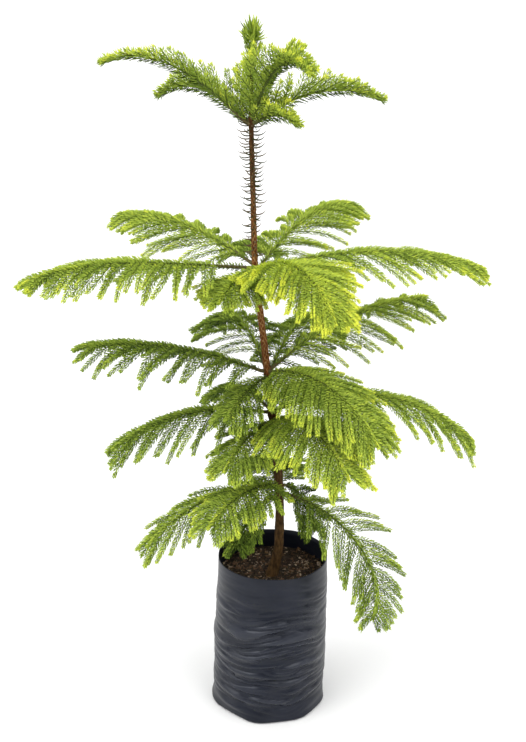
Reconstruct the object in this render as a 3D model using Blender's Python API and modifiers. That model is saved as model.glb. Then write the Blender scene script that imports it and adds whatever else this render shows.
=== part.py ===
"""A young araucaria in a black poly nursery bag: trunk, tiered boughs and needle foliage."""

import math
import random
from collections import namedtuple

import bmesh
import bpy
from mathutils import Matrix, Vector
from mathutils.bvhtree import BVHTree

# Clearance between solids that touch, in metres like every size here
GAP = 0.0003
WELD_DISTANCE = 0.000001
SHARP_TURNED = 40.0
SHARP_TUBE = 60.0

# Nursery bag: a poly sleeve with a flat base, leaning a little towards +X
BAG_HEIGHT = 0.300
SOIL_DEPTH_BELOW_RIM = 0.037
SOIL_LEVEL = BAG_HEIGHT - SOIL_DEPTH_BELOW_RIM
BAG_WALL = 0.0020
BAG_LEAN = 0.0095
BAG_SIDES = 26

# Side of the bag from its rim to its foot: radius and height
BAG_SIDE = (
    (0.1000, BAG_HEIGHT),
    (0.1010, SOIL_LEVEL),
    (0.1050, 0.1500),
    (0.1060, 0.0600),
    (0.1054, 0.0120),
    (0.1012, 0.0036),
    (0.0970, 0.0000),
)

# Trunk centre line and radius, from the cut at soil level to the tip
TrunkPoint = namedtuple("TrunkPoint", "x y z radius")
TRUNK = (
    TrunkPoint(0.006, -0.014, SOIL_LEVEL + GAP, 0.0108),
    TrunkPoint(0.010, -0.014, 0.280, 0.0094),
    TrunkPoint(0.018, -0.013, 0.316, 0.0084),
    TrunkPoint(0.020, -0.013, 0.370, 0.0080),
    TrunkPoint(0.019, -0.012, 0.440, 0.0078),
    TrunkPoint(0.013, -0.011, 0.520, 0.0071),
    TrunkPoint(0.006, -0.011, 0.582, 0.0067),
    TrunkPoint(-0.002, -0.010, 0.661, 0.0062),
    TrunkPoint(-0.012, -0.009, 0.750, 0.0057),
    TrunkPoint(-0.023, -0.008, 0.849, 0.0052),
    TrunkPoint(-0.026, -0.007, 0.960, 0.0045),
    TrunkPoint(-0.029, -0.006, 1.094, 0.0038),
    TrunkPoint(-0.028, -0.005, 1.178, 0.0023),
)
TRUNK_STEPS_BETWEEN_POINTS = 2
TRUNK_BEVEL_RESOLUTION = 3
TRUNK_UPRIGHT_FOOT = 0.003

# Boughs leave the trunk in five tiers, numbered from the top
TIER_HEIGHT = {1: 1.094, 2: 0.849, 3: 0.661, 4: 0.582, 5: 0.440}
TIER_HANG = {1: 0.00, 2: 1.30, 3: 1.40, 4: 1.80, 5: 1.80}
TIER_LIFT = {1: 0.45, 2: 0.10, 3: 0.05, 4: 0.00, 5: 0.00}

# azimuth: degrees from +X towards +Y; rise and fall: pitch in degrees at the
# trunk and at the tip; bend: 1 turns evenly, more keeps the turn for the tip;
# lift: how far the bough leaves the trunk above its tier; twig: longest twig;
# bare: length of the limb without twigs, 0 where the foliage starts at the trunk
Bough = namedtuple("Bough", "name tier azimuth length rise fall bend lift twig bare")
BOUGHS = (
    Bough("tier1_left", 1, 182, 0.27, 43, -34, 2.1, 0.000, 0.085, 0.042),
    Bough("tier1_back_left", 1, 148, 0.18, 26, -40, 1.6, 0.008, 0.065, 0.0),
    Bough("tier1_front", 1, -62, 0.22, 62, -30, 1.8, 0.012, 0.065, 0.0),
    Bough("tier1_right", 1, 12, 0.245, 38, -36, 1.1, 0.002, 0.080, 0.038),
    Bough("tier1_front_right", 1, -32, 0.10, 34, -10, 1.2, -0.002, 0.045, 0.0),
    Bough("tier1_back", 1, 96, 0.17, 48, 5, 1.3, 0.006, 0.065, 0.0),
    Bough("tier2_left", 2, 209, 0.435, 15, -20, 1.9, 0.002, 0.110, 0.068),
    Bough("tier2_back_left", 2, 136, 0.39, 18, -24, 1.5, 0.008, 0.110, 0.055),
    Bough("tier2_back", 2, 92, 0.22, 2, -25, 1.5, 0.012, 0.085, 0.036),
    Bough("tier2_back_right", 2, 52, 0.36, 27, -26, 1.6, -0.006, 0.110, 0.042),
    Bough("tier2_right", 2, 8, 0.425, 15, -38, 1.6, 0.002, 0.105, 0.062),
    Bough("tier2_front_right", 2, -56, 0.32, 27, -62, 1.4, -0.002, 0.110, 0.020),
    Bough("tier2_front_left", 2, 240, 0.18, 6, -30, 1.3, -0.010, 0.080, 0.0),
    Bough("tier3_left", 3, 195, 0.35, 28, -10, 1.3, 0.004, 0.105, 0.042),
    Bough("tier3_back_left", 3, 114, 0.32, 48, -50, 1.1, 0.012, 0.100, 0.042),
    Bough("tier3_back_right", 3, 66, 0.31, 36, -40, 1.2, -0.004, 0.100, 0.040),
    Bough("tier3_right", 3, 34, 0.40, 37, -20, 1.0, 0.012, 0.105, 0.050),
    Bough("tier3_front_right", 3, -43, 0.34, 22, -56, 1.1, 0.006, 0.105, 0.022),
    Bough("tier3_front_left", 3, 226, 0.17, 6, -28, 1.2, -0.004, 0.080, 0.018),
    Bough("tier4_left", 4, 192, 0.30, 15, -30, 1.2, 0.004, 0.105, 0.038),
    Bough("tier4_back_left", 4, 132, 0.25, 20, -45, 1.1, 0.012, 0.085, 0.034),
    Bough("tier4_back_right", 4, 64, 0.28, 20, -50, 1.1, -0.006, 0.090, 0.036),
    Bough("tier4_right", 4, -4, 0.41, 38, -62, 1.0, 0.010, 0.105, 0.045),
    Bough("tier4_front", 4, -61, 0.29, 30, -45, 1.1, -0.006, 0.110, 0.020),
    Bough("tier4_front_left", 4, 224, 0.19, 2, -44, 1.1, -0.014, 0.085, 0.022),
    Bough("tier5_left", 5, 198, 0.29, 10, -52, 1.0, 0.004, 0.095, 0.036),
    Bough("tier5_front_left", 5, 232, 0.20, 12, -28, 1.2, 0.008, 0.090, 0.024),
    Bough("tier5_front", 5, 246, 0.12, -10, -60, 1.2, -0.014, 0.060, 0.0),
    Bough("tier5_front_right", 5, -29, 0.35, -6, -88, 1.0, -0.006, 0.095, 0.045),
    Bough("tier5_right", 5, 26, 0.15, 14, -40, 1.1, 0.008, 0.070, 0.022),
    Bough("tier5_back", 5, 96, 0.20, 8, -60, 1.1, 0.000, 0.075, 0.0),
)
BOUGH_STEPS = 24
LIMB_STATIONS = 3
LIMB_THINNEST_ROOT = 0.0022
LIMB_THICKEST_ROOT = 0.0036
LIMB_RADIUS_PER_LENGTH = 0.0022
SEAT_LENGTH = 0.004
SEAT_SEARCH = 0.030

# Foliage: twigs on both sides of a stem, each a toothed blade of needles
STEM_STATIONS = 6
STEM_TIP_RADIUS = 0.0012
STEM_FULLNESS = 1.15
TWIG_STEPS = 4
TWIG_SPACING = 0.0235
TWIG_SPREAD_AT_BASE = 72.0
TWIG_SPREAD_AT_TIP = 34.0
TWIG_SPREAD_JITTER = 7.0
TWIG_LENGTH_JITTER = 0.13
TWIG_HANG_JITTER = 0.15
TWIG_LENGTH_AT_BASE = 0.62
TWIG_LENGTH_GAIN = 1.3
TWIG_LONGEST_AT = 0.3
TWIG_LENGTH_FADE = 0.62
TWIG_LIFT_FADE = 0.5
FIRST_TWIG = 0.6
FEWEST_TWIGS = 5
TWIG_SHRINKS = (1.0, 0.72, 0.48)
TWIG_CLEARANCE = 0.0012
SHORTEST_TWIG = 0.018
TIP_TWIG_SHARE = 0.38
TIP_SINK = 0.005
NEEDLE_REACH = 0.0105
NEEDLE_REACH_AT_NOTCH = 0.0045
BLADE_THICKNESS = 0.0040
LONG_BLADE = 0.085
FIRST_TOOTH = 0.10
TOOTH_FROM_ROOT = 0.007
TOOTH_SWEEP = 0.05
TOOTH_TAPER = 0.22
TEETH_SHORT = 2
TEETH_LONG = 3
TOOTH_PITCH = {TEETH_SHORT: 0.62, TEETH_LONG: 0.36}
NOTCH_AFTER_TOOTH = {TEETH_SHORT: 0.50, TEETH_LONG: 0.29}
STEM_SEED = "araucaria foliage"

# Tuft of upright twigs on the leader
LEADER_LENGTH = 0.062
LEADER_RADII = (0.0023, 0.0019, 0.0015, 0.0012)
LEADER_TWIGS = 7
LEADER_FIRST_TWIG = 0.25
LEADER_TWIG_SPAN = 0.7
LEADER_TWIG_FADE = 0.45
LEADER_TIP_ROOT = 0.95
LEADER_TWIG_LENGTH = 0.045
LEADER_TWIG_PITCH = 52.0
LEADER_HANG = -0.3
LEADER_TIP_LENGTH = 0.022
GOLDEN_ANGLE = 137.5

UP = Vector((0.0, 0.0, 1.0))


def clear_scene():
    """Take every object out of the starting scene."""
    for item in list(bpy.data.objects):
        bpy.data.objects.remove(item, do_unlink=True)


def finish_material(name, colour, roughness):
    """A plain Principled material."""
    material = bpy.data.materials.new(name)
    material.use_nodes = True
    shader = material.node_tree.nodes["Principled BSDF"]
    shader.inputs["Base Color"].default_value = (*colour, 1.0)
    shader.inputs["Roughness"].default_value = roughness
    shader.inputs["Metallic"].default_value = 0.0
    material.diffuse_color = (*colour, 1.0)
    return material


def add_object(name, mesh, material, collection):
    """Put a mesh in the scene under a name, with its material."""
    mesh.materials.clear()
    mesh.materials.append(material)
    item = bpy.data.objects.new(name, mesh)
    collection.objects.link(item)
    return item


def mesh_of(item):
    """The evaluated mesh of an object, in world space, with loose caps welded."""
    graph = bpy.context.evaluated_depsgraph_get()
    mesh = bpy.data.meshes.new_from_object(item.evaluated_get(graph), depsgraph=graph)
    mesh.transform(item.matrix_world)
    work = bmesh.new()
    work.from_mesh(mesh)
    bmesh.ops.remove_doubles(work, verts=work.verts, dist=WELD_DISTANCE)
    bmesh.ops.recalc_face_normals(work, faces=work.faces)
    work.to_mesh(mesh)
    work.free()
    return mesh


def turned(name, profile, material, collection):
    """Turn a profile of (radius, height) points round the vertical axis."""
    work = bmesh.new()
    verts = [work.verts.new((radius, 0.0, height)) for radius, height in profile]
    for lower, upper in zip(verts, verts[1:]):
        work.edges.new((lower, upper))
    mesh = bpy.data.meshes.new(name)
    work.to_mesh(mesh)
    work.free()
    item = add_object(name, mesh, material, collection)
    screw = item.modifiers.new("Turn", "SCREW")
    screw.steps = BAG_SIDES
    screw.render_steps = BAG_SIDES
    screw.use_merge_vertices = True
    screw.merge_threshold = WELD_DISTANCE
    item.data = mesh_of(item)
    item.modifiers.clear()
    lean = Matrix.Identity(4)
    lean[0][2] = BAG_LEAN / BAG_HEIGHT
    item.data.transform(lean)
    item.data.shade_smooth()
    item.data.set_sharp_from_angle(angle=math.radians(SHARP_TURNED))
    return item


def bag_wall_profile(inset):
    """Side of the bag from the rim down to the floor, moved in by inset."""
    return [(radius - inset, max(height, inset)) for radius, height in BAG_SIDE]


def make_bag(collection):
    """The open poly bag: a thin wall and a flat base."""
    film = finish_material("black_poly_film", (0.030, 0.034, 0.040), 0.42)
    outer = bag_wall_profile(0.0)
    inner = bag_wall_profile(BAG_WALL)
    profile = [(0.0, BAG_WALL)] + inner[::-1] + outer + [(0.0, 0.0)]
    return turned("grow_bag", profile, film, collection)


def make_soil(collection):
    """Potting bark, filling the bag to below its rim."""
    bark = finish_material("potting_bark", (0.060, 0.038, 0.024), 0.95)
    inset = BAG_WALL + GAP
    side = [point for point in bag_wall_profile(inset) if point[1] <= SOIL_LEVEL]
    profile = [(0.0, SOIL_LEVEL)] + side + [(0.0, inset)]
    return turned("potting_soil", profile, bark, collection)


def smooth_between(before, start, end, after, share):
    """One value of a smooth curve between start and end."""
    slope_in = 0.5 * (end - before)
    slope_out = 0.5 * (after - start)
    square = share * share
    cube = square * share
    return (
        (2 * cube - 3 * square + 1) * start
        + (cube - 2 * square + share) * slope_in
        + (3 * square - 2 * cube) * end
        + (cube - square) * slope_out
    )


def trunk_stations():
    """Points and radii of the trunk, read from a smooth curve through TRUNK."""
    stations = []
    last = len(TRUNK) - 1
    for index in range(last):
        around = [TRUNK[max(0, min(last, index + step))] for step in (-1, 0, 1, 2)]
        for step in range(TRUNK_STEPS_BETWEEN_POINTS):
            share = step / TRUNK_STEPS_BETWEEN_POINTS
            stations.append(TrunkPoint(*(smooth_between(*values, share) for values in zip(*around))))
    stations.append(TRUNK[-1])
    return stations


def trunk_centre(height):
    """Centre of the trunk at a height."""
    stations = trunk_stations()
    for low, high in zip(stations, stations[1:]):
        if height <= high.z:
            share = (height - low.z) / (high.z - low.z)
            break
    return Vector([a + (b - a) * share for a, b in zip(low[:3], high[:3])])


def seat_distance(trunk_skin, centre, out, radius):
    """How far out from the trunk's centre a limb's flat end clears its skin."""
    across = out.cross(UP)
    reach = 0.0
    for rise in (-radius, 0.0, radius):
        for shift in (-radius, 0.0, radius):
            start = centre + out * SEAT_SEARCH + UP * rise + across * shift
            hit = trunk_skin.ray_cast(start, -out)[0]
            if hit is not None:
                reach = max(reach, (hit - centre).dot(out))
    return reach + GAP


def tube(name, points, radii, resolution, material, collection):
    """A tapering tube along points, as one closed mesh."""
    curve = bpy.data.curves.new(name, "CURVE")
    curve.dimensions = "3D"
    curve.bevel_depth = 1.0
    curve.bevel_resolution = resolution
    curve.use_fill_caps = True
    spline = curve.splines.new("POLY")
    spline.points.add(len(points) - 1)
    for node, point, radius in zip(spline.points, points, radii):
        node.co = (*point, 1.0)
        node.radius = radius
    source = bpy.data.objects.new(name + "_line", curve)
    collection.objects.link(source)
    bpy.context.view_layer.update()
    mesh = mesh_of(source)
    bpy.data.objects.remove(source, do_unlink=True)
    mesh.shade_smooth()
    mesh.set_sharp_from_angle(angle=math.radians(SHARP_TUBE))
    return add_object(name, mesh, material, collection)


def make_trunk(collection):
    """The whole trunk, from the flat cut at soil level to the leader."""
    bark = finish_material("brown_bark", (0.115, 0.070, 0.042), 0.85)
    stations = trunk_stations()
    foot = stations[0]
    stations.insert(1, TrunkPoint(foot.x, foot.y, foot.z + TRUNK_UPRIGHT_FOOT, foot.radius))
    points = [(s.x, s.y, s.z) for s in stations]
    radii = [s.radius for s in stations]
    return tube("trunk", points, radii, TRUNK_BEVEL_RESOLUTION, bark, collection)


def bough_line(bough, trunk_skin):
    """Centre points of a bough from the trunk's skin to its tip."""
    azimuth = math.radians(bough.azimuth)
    out = Vector((math.cos(azimuth), math.sin(azimuth), 0.0))
    centre = trunk_centre(TIER_HEIGHT[bough.tier] + bough.lift)
    seat = seat_distance(trunk_skin, centre, out, bough_radius(bough, 0.0))
    line = [centre + out * seat, centre + out * (seat + SEAT_LENGTH)]
    step = (bough.length - SEAT_LENGTH) / BOUGH_STEPS
    for index in range(BOUGH_STEPS):
        share = (index + 0.5) / BOUGH_STEPS
        pitch = math.radians(bough.rise + (bough.fall - bough.rise) * share**bough.bend)
        ahead = out * math.cos(pitch) + UP * math.sin(pitch)
        line.append(line[-1] + ahead * step)
    return line


def bough_radius(bough, share):
    """Radius of the wood at a share of the bough's length."""
    root = min(LIMB_THICKEST_ROOT, LIMB_THINNEST_ROOT + LIMB_RADIUS_PER_LENGTH * bough.length)
    return root + (STEM_TIP_RADIUS - root) * share


def point_on(line, share):
    """Point and direction at a share of a line's length."""
    runs = [(after - before).length for before, after in zip(line, line[1:])]
    left = share * sum(runs)
    for index, run in enumerate(runs):
        if left <= run or index == len(runs) - 1:
            ahead = (line[index + 1] - line[index]).normalized()
            return line[index] + ahead * min(left, run), ahead
        left -= run


def cut_line(line, start, end, stations):
    """Evenly spaced points of a line between two shares."""
    shares = [start + (end - start) * i / (stations - 1) for i in range(stations)]
    return [point_on(line, share)[0] for share in shares]


def twig_length(bough, share):
    """Length of a twig at a share of the foliage, longest near the first third."""
    grow = min(1.0, TWIG_LENGTH_AT_BASE + TWIG_LENGTH_GAIN * share)
    beyond = max(0.0, share - TWIG_LONGEST_AT) / (1.0 - TWIG_LONGEST_AT)
    return bough.twig * grow * (1.0 - TWIG_LENGTH_FADE * beyond)


def bent_path(start, ahead, length, hang, steps):
    """Points of a twig that sets off ahead and sags by hang along its length."""
    points = [start.copy()]
    for index in range(steps):
        share = (index + 0.5) / steps
        direction = (ahead - UP * hang * share).normalized()
        points.append(points[-1] + direction * (length / steps))
    return points


def twig_heading(bough, ahead, side, share, spread):
    """Direction in which a twig leaves the stem."""
    across = ahead.cross(UP).normalized() * side
    over = across.cross(ahead).normalized() * side
    angle = math.radians(spread)
    lift = TIER_LIFT[bough.tier] * (1.0 - TWIG_LIFT_FADE * share)
    return (ahead * math.cos(angle) + across * math.sin(angle) + over * lift).normalized()


def tip_start(bough):
    """Share of the bough's length at which its stem ends in one last twig."""
    return 1.0 - bough.twig * TIP_TWIG_SHARE / bough.length


def grow_twigs(bough, line, stem):
    """Paths, whole and shortened, of each twig of a stem, and the way its blade lies."""
    rule = random.Random(STEM_SEED + bough.name)
    leafy = sum((after - before).length for before, after in zip(stem, stem[1:]))
    count = max(FEWEST_TWIGS, round(leafy / TWIG_SPACING))
    twigs = []
    for index in range(count):
        share = (index + FIRST_TWIG) / count
        side = 1 if index % 2 else -1
        spread = TWIG_SPREAD_AT_BASE + (TWIG_SPREAD_AT_TIP - TWIG_SPREAD_AT_BASE) * share
        spread += rule.uniform(-TWIG_SPREAD_JITTER, TWIG_SPREAD_JITTER)
        root, ahead = point_on(stem, share)
        heading = twig_heading(bough, ahead, side, share, spread)
        length = twig_length(bough, share)
        length *= 1.0 + rule.uniform(-TWIG_LENGTH_JITTER, TWIG_LENGTH_JITTER)
        hang = TIER_HANG[bough.tier] * (1.0 + rule.uniform(-TWIG_HANG_JITTER, TWIG_HANG_JITTER))
        lengths = [length * shrink for shrink in TWIG_SHRINKS if length * shrink > SHORTEST_TWIG]
        twigs.append(([bent_path(root, heading, size, hang, TWIG_STEPS) for size in lengths], ahead))
    start = tip_start(bough)
    ends = [start + (1.0 - start) * shrink for shrink in TWIG_SHRINKS]
    root, ahead = point_on(stem, 1.0 - TIP_SINK / leafy)
    paths = [[root] + cut_line(line, start, end, TWIG_STEPS) for end in ends]
    twigs.append((paths, ahead.cross(UP).normalized()))
    return twigs


def loft(name, sections):
    """A closed skin over three-cornered sections, where an end may be one point."""
    work = bmesh.new()
    rings = [[work.verts.new(corner) for corner in section] for section in sections]
    for near, far in zip(rings, rings[1:]):
        for corner in range(3):
            after = (corner + 1) % 3
            ring = [near[corner % len(near)], near[after % len(near)]]
            ring += [far[after % len(far)], far[corner % len(far)]]
            ring = [vert for index, vert in enumerate(ring) if vert not in ring[:index]]
            work.faces.new(ring)
    for ring in (rings[0], rings[-1]):
        if len(ring) == 3:
            work.faces.new(ring)
    bmesh.ops.triangulate(work, faces=work.faces)
    bmesh.ops.recalc_face_normals(work, faces=work.faces)
    mesh = bpy.data.meshes.new(name)
    work.to_mesh(mesh)
    work.free()
    return mesh


def three_corners(centre, across, over, radius):
    """The corners of a three-sided section."""
    turns = [math.radians(turn) for turn in (90.0, 210.0, 330.0)]
    return [centre + (across * math.cos(turn) + over * math.sin(turn)) * radius for turn in turns]


def stem_mesh(name, points, radii):
    """A three-sided tapering stem."""
    sections = []
    for index, (point, radius) in enumerate(zip(points, radii)):
        before = points[max(0, index - 1)]
        after = points[min(len(points) - 1, index + 1)]
        ahead = (after - before).normalized()
        across = ahead.cross(UP).normalized()
        over = across.cross(ahead).normalized()
        sections.append(three_corners(point, across, over, radius))
    return loft(name, sections)


def blade_mesh(name, path, lie, extra):
    """A toothed blade of needles along a path; extra widens it all round."""
    length = sum((after - before).length for before, after in zip(path, path[1:]))
    teeth = TEETH_LONG if length > LONG_BLADE else TEETH_SHORT
    first = max(FIRST_TOOTH, TOOTH_FROM_ROOT / length)
    sections = [[path[0]]]
    for tooth in range(teeth):
        reach = NEEDLE_REACH * (1.0 - TOOTH_TAPER * tooth)
        share = first + (1.0 - first) * tooth * TOOTH_PITCH[teeth]
        sections.append(blade_section(path, share, TOOTH_SWEEP, reach, lie, extra))
        if tooth < teeth - 1:
            notch = share + (1.0 - first) * NOTCH_AFTER_TOOTH[teeth]
            sections.append(blade_section(path, notch, 0.0, NEEDLE_REACH_AT_NOTCH, lie, extra))
    tip, ahead = point_on(path, 1.0)
    sections.append([tip + ahead * extra])
    return loft(name, sections)


def blade_section(path, share, sweep, reach, lie, extra):
    """Two edges swept forward and a ridge, at a share of a blade's path."""
    centre, ahead = point_on(path, share)
    edge_centre = point_on(path, min(1.0, share + sweep))[0]
    across = (lie - ahead * lie.dot(ahead)).normalized()
    over = across.cross(ahead).normalized()
    wide = across * (reach + extra)
    ridge = centre + over * (BLADE_THICKNESS + extra)
    under = over * extra
    return [edge_centre - wide - under, edge_centre + wide - under, ridge]


def skin_of(mesh):
    """Lowest and highest corner of a mesh, and a search tree of its faces."""
    work = bmesh.new()
    work.from_mesh(mesh)
    bmesh.ops.triangulate(work, faces=work.faces)
    points = [vert.co for vert in work.verts]
    low = [min(point[axis] for point in points) for axis in range(3)]
    high = [max(point[axis] for point in points) for axis in range(3)]
    tree = BVHTree.FromBMesh(work)
    work.free()
    return low, high, tree


class Surroundings:
    """The skins of all the solids made so far, for testing a new twig against."""

    def __init__(self):
        self.skins = []

    def add(self, owner, mesh):
        """Keep a mesh's skin under its owner's name."""
        self.skins.append((owner, *skin_of(mesh)))

    def tree_of(self, owner):
        """The first search tree kept under a name."""
        return next(tree for name, _, _, tree in self.skins if name == owner)

    def touches(self, owner, mesh):
        """Whether a mesh meets any skin that isn't its owner's."""
        low, high, tree = skin_of(mesh)
        for other, other_low, other_high, other_tree in self.skins:
            apart = any(low[axis] > other_high[axis] or high[axis] < other_low[axis] for axis in range(3))
            if other != owner and not apart and tree.overlap(other_tree):
                return True
        return False


def fit_blade(name, paths, lie, surroundings):
    """The longest blade of a twig that clears its surroundings, or None."""
    for path in paths:
        trial = blade_mesh("trial", path, lie, TWIG_CLEARANCE)
        meets = surroundings.touches(name, trial)
        bpy.data.meshes.remove(trial)
        if not meets:
            return blade_mesh(name, path, lie, 0.0)
    return None


def join_mass(stem, blades, collection):
    """Fuse the blades into their stem by one union, and clear them away."""
    loose = bpy.data.collections.new(stem.name + "_twigs")
    collection.children.link(loose)
    for index, mesh in enumerate(blades):
        loose.objects.link(bpy.data.objects.new(f"{stem.name}_twig_{index}", mesh))
    union = stem.modifiers.new("Join", "BOOLEAN")
    union.operation = "UNION"
    union.operand_type = "COLLECTION"
    union.collection = loose
    union.solver = "EXACT"
    bpy.context.view_layer.update()
    joined = mesh_of(stem)
    material = stem.data.materials[0]
    stem.modifiers.clear()
    stem.data = joined
    joined.materials.clear()
    joined.materials.append(material)
    for item in list(loose.objects):
        bpy.data.objects.remove(item, do_unlink=True)
    bpy.data.collections.remove(loose)


def make_limbs(lines, surroundings, collection):
    """The bare limbs, each from the trunk to where its foliage starts."""
    bark = finish_material("bough_bark", (0.150, 0.100, 0.050), 0.8)
    for bough, line in lines:
        if not bough.bare:
            continue
        end = bough.bare / bough.length
        stations = [line[0]] + cut_line(line, SEAT_LENGTH / bough.length, end, LIMB_STATIONS)
        shares = [end * i / LIMB_STATIONS for i in range(LIMB_STATIONS + 1)]
        radii = [bough_radius(bough, share) for share in shares]
        limb = tube(bough.name + "_bough", stations, radii, 1, bark, collection)
        surroundings.add(limb.name, limb.data)


def make_stems(lines, surroundings, collection):
    """The stems that carry the foliage, each on from its limb or from the trunk."""
    tones = {
        1: finish_material("young_foliage", (0.270, 0.400, 0.060), 0.6),
        2: finish_material("upper_foliage", (0.190, 0.310, 0.050), 0.6),
        3: finish_material("middle_foliage", (0.140, 0.250, 0.045), 0.6),
        4: finish_material("lower_foliage", (0.110, 0.210, 0.040), 0.6),
        5: finish_material("lowest_foliage", (0.090, 0.180, 0.038), 0.6),
    }
    stems = []
    for bough, line in lines:
        name = bough.name + "_foliage"
        start = bough.bare / bough.length
        end = tip_start(bough)
        if bough.bare:
            stations = cut_line(line, start, end, STEM_STATIONS)
            stations[0] = stations[0] + point_on(line, start)[1] * GAP
        else:
            stations = [line[0]] + cut_line(line, SEAT_LENGTH / bough.length, end, STEM_STATIONS)
        steps = len(stations) - 1
        shares = [start + (end - start) * i / steps for i in range(steps + 1)]
        radii = [bough_radius(bough, share) * STEM_FULLNESS for share in shares]
        stem = add_object(name, stem_mesh(name, stations, radii), tones[bough.tier], collection)
        surroundings.add(name, stem.data)
        stems.append((bough, line, stations, stem))
    return stems


def make_foliage(stems, surroundings, collection):
    """Grow the twigs of each stem clear of all else, and join them."""
    for bough, line, stations, stem in stems:
        blades = []
        for paths, lie in grow_twigs(bough, line, stations):
            blade = fit_blade(stem.name, paths, lie, surroundings)
            if blade is not None:
                blades.append(blade)
                surroundings.add(stem.name, blade)
        join_mass(stem, blades, collection)


def make_leader(surroundings, collection):
    """The tuft at the top: a stem on from the trunk's tip with upright twigs."""
    name = "leader_foliage"
    green = finish_material("leader_green", (0.330, 0.430, 0.070), 0.6)
    top = TRUNK[-1]
    foot = Vector((top.x, top.y, top.z))
    before = trunk_stations()[-2]
    ahead = (foot - Vector((before.x, before.y, before.z))).normalized()
    east = Vector((1.0, 0.0, 0.0))
    steps = len(LEADER_RADII) - 1
    line = [foot + ahead * (GAP + LEADER_LENGTH * step / steps) for step in range(steps + 1)]
    north = UP.cross(east)
    sections = [three_corners(point, east, north, radius) for point, radius in zip(line, LEADER_RADII)]
    stem = add_object(name, loft(name, sections), green, collection)
    surroundings.add(name, stem.data)
    blades = []
    for index in range(LEADER_TWIGS):
        share = LEADER_FIRST_TWIG + LEADER_TWIG_SPAN * index / LEADER_TWIGS
        turn = math.radians(GOLDEN_ANGLE * index)
        pitch = math.radians(LEADER_TWIG_PITCH)
        out = Vector((math.cos(turn), math.sin(turn), 0.0))
        heading = out * math.cos(pitch) + UP * math.sin(pitch)
        length = LEADER_TWIG_LENGTH * (1.0 - LEADER_TWIG_FADE * share)
        root = point_on(line, share)[0]
        lengths = [length * shrink for shrink in TWIG_SHRINKS]
        paths = [bent_path(root, heading, size, LEADER_HANG, TWIG_STEPS) for size in lengths]
        blades.append(fit_blade(name, paths, out.cross(UP), surroundings))
    tip = point_on(line, LEADER_TIP_ROOT)[0]
    blades.append(fit_blade(name, [[tip, tip + ahead * LEADER_TIP_LENGTH]], east, surroundings))
    join_mass(stem, [blade for blade in blades if blade is not None], collection)


def main():
    """Build the whole plant."""
    clear_scene()
    plant = bpy.data.collections.new("potted_araucaria")
    bpy.context.scene.collection.children.link(plant)
    surroundings = Surroundings()
    for maker in (make_bag, make_soil, make_trunk):
        item = maker(plant)
        surroundings.add(item.name, item.data)
    trunk_skin = surroundings.tree_of("trunk")
    lines = [(bough, bough_line(bough, trunk_skin)) for bough in BOUGHS]
    make_limbs(lines, surroundings, plant)
    stems = make_stems(lines, surroundings, plant)
    make_leader(surroundings, plant)
    make_foliage(stems, surroundings, plant)


main()
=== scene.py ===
"""Dress the potted young araucaria: bark, twigs, needles, potting bark and the film bag.

Every size is in metres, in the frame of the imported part: +Z up, with the origin in the
middle of the bag's underside. Boughs and twigs grow by the same rule as the solids do.
"""

import logging
import math
import random
from dataclasses import dataclass, field
from enum import Enum

import bpy
import numpy as np
from bpy.types import Material, Mesh, Node, NodeSocket, NodeTree, Object
from bpy.types import bpy_prop_collection as Sockets
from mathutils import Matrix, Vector, noise


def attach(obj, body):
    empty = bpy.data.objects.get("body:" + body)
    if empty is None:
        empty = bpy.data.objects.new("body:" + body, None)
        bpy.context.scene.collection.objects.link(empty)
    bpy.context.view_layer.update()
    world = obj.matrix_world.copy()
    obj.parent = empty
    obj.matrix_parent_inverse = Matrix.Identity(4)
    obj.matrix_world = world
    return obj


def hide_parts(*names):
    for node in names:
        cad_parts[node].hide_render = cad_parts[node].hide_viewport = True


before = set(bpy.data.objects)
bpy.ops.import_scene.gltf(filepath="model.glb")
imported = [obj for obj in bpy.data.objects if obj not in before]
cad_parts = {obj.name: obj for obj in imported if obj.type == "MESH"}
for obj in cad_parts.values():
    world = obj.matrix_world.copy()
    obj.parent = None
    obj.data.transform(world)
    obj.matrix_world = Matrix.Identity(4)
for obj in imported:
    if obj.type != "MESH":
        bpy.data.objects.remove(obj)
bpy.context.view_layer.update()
LOG = logging.getLogger("araucaria")

UP = np.array((0.0, 0.0, 1.0))
EAST = np.array((1.0, 0.0, 0.0))
GOLDEN_ANGLE = math.radians(137.508)
FULL_TURN = 2.0 * math.pi

SOIL_LEVEL = 0.263
BAG_HEIGHT = 0.300
BAG_LEAN = 0.0082 / BAG_HEIGHT

Colour = tuple[float, float, float]


# Arrays, paths and joined meshes


def unit(vectors: np.ndarray) -> np.ndarray:
    """Scale one vector, or each of several, to a length of one."""
    return vectors / np.linalg.norm(vectors, axis=-1, keepdims=True)


def blend_values(low: float, high: float, share: np.ndarray | float) -> np.ndarray | float:
    """Read a value between a low and a high one, at a share or at each of several."""
    return low + (high - low) * share


def seeded(text: str) -> np.random.Generator:
    """Give the random numbers that belong to a name, the same in each run."""
    return np.random.default_rng(random.Random(text).getrandbits(32))


def level_way(turn: float) -> np.ndarray:
    """Find the level way that looks to an angle round the trunk."""
    return np.array((math.cos(turn), math.sin(turn), 0.0))


def pitched(out: np.ndarray, pitch: np.ndarray) -> np.ndarray:
    """Turn a level way up by each pitch, one way a row."""
    return out * np.cos(pitch)[:, None] + UP * np.sin(pitch)[:, None]


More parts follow.
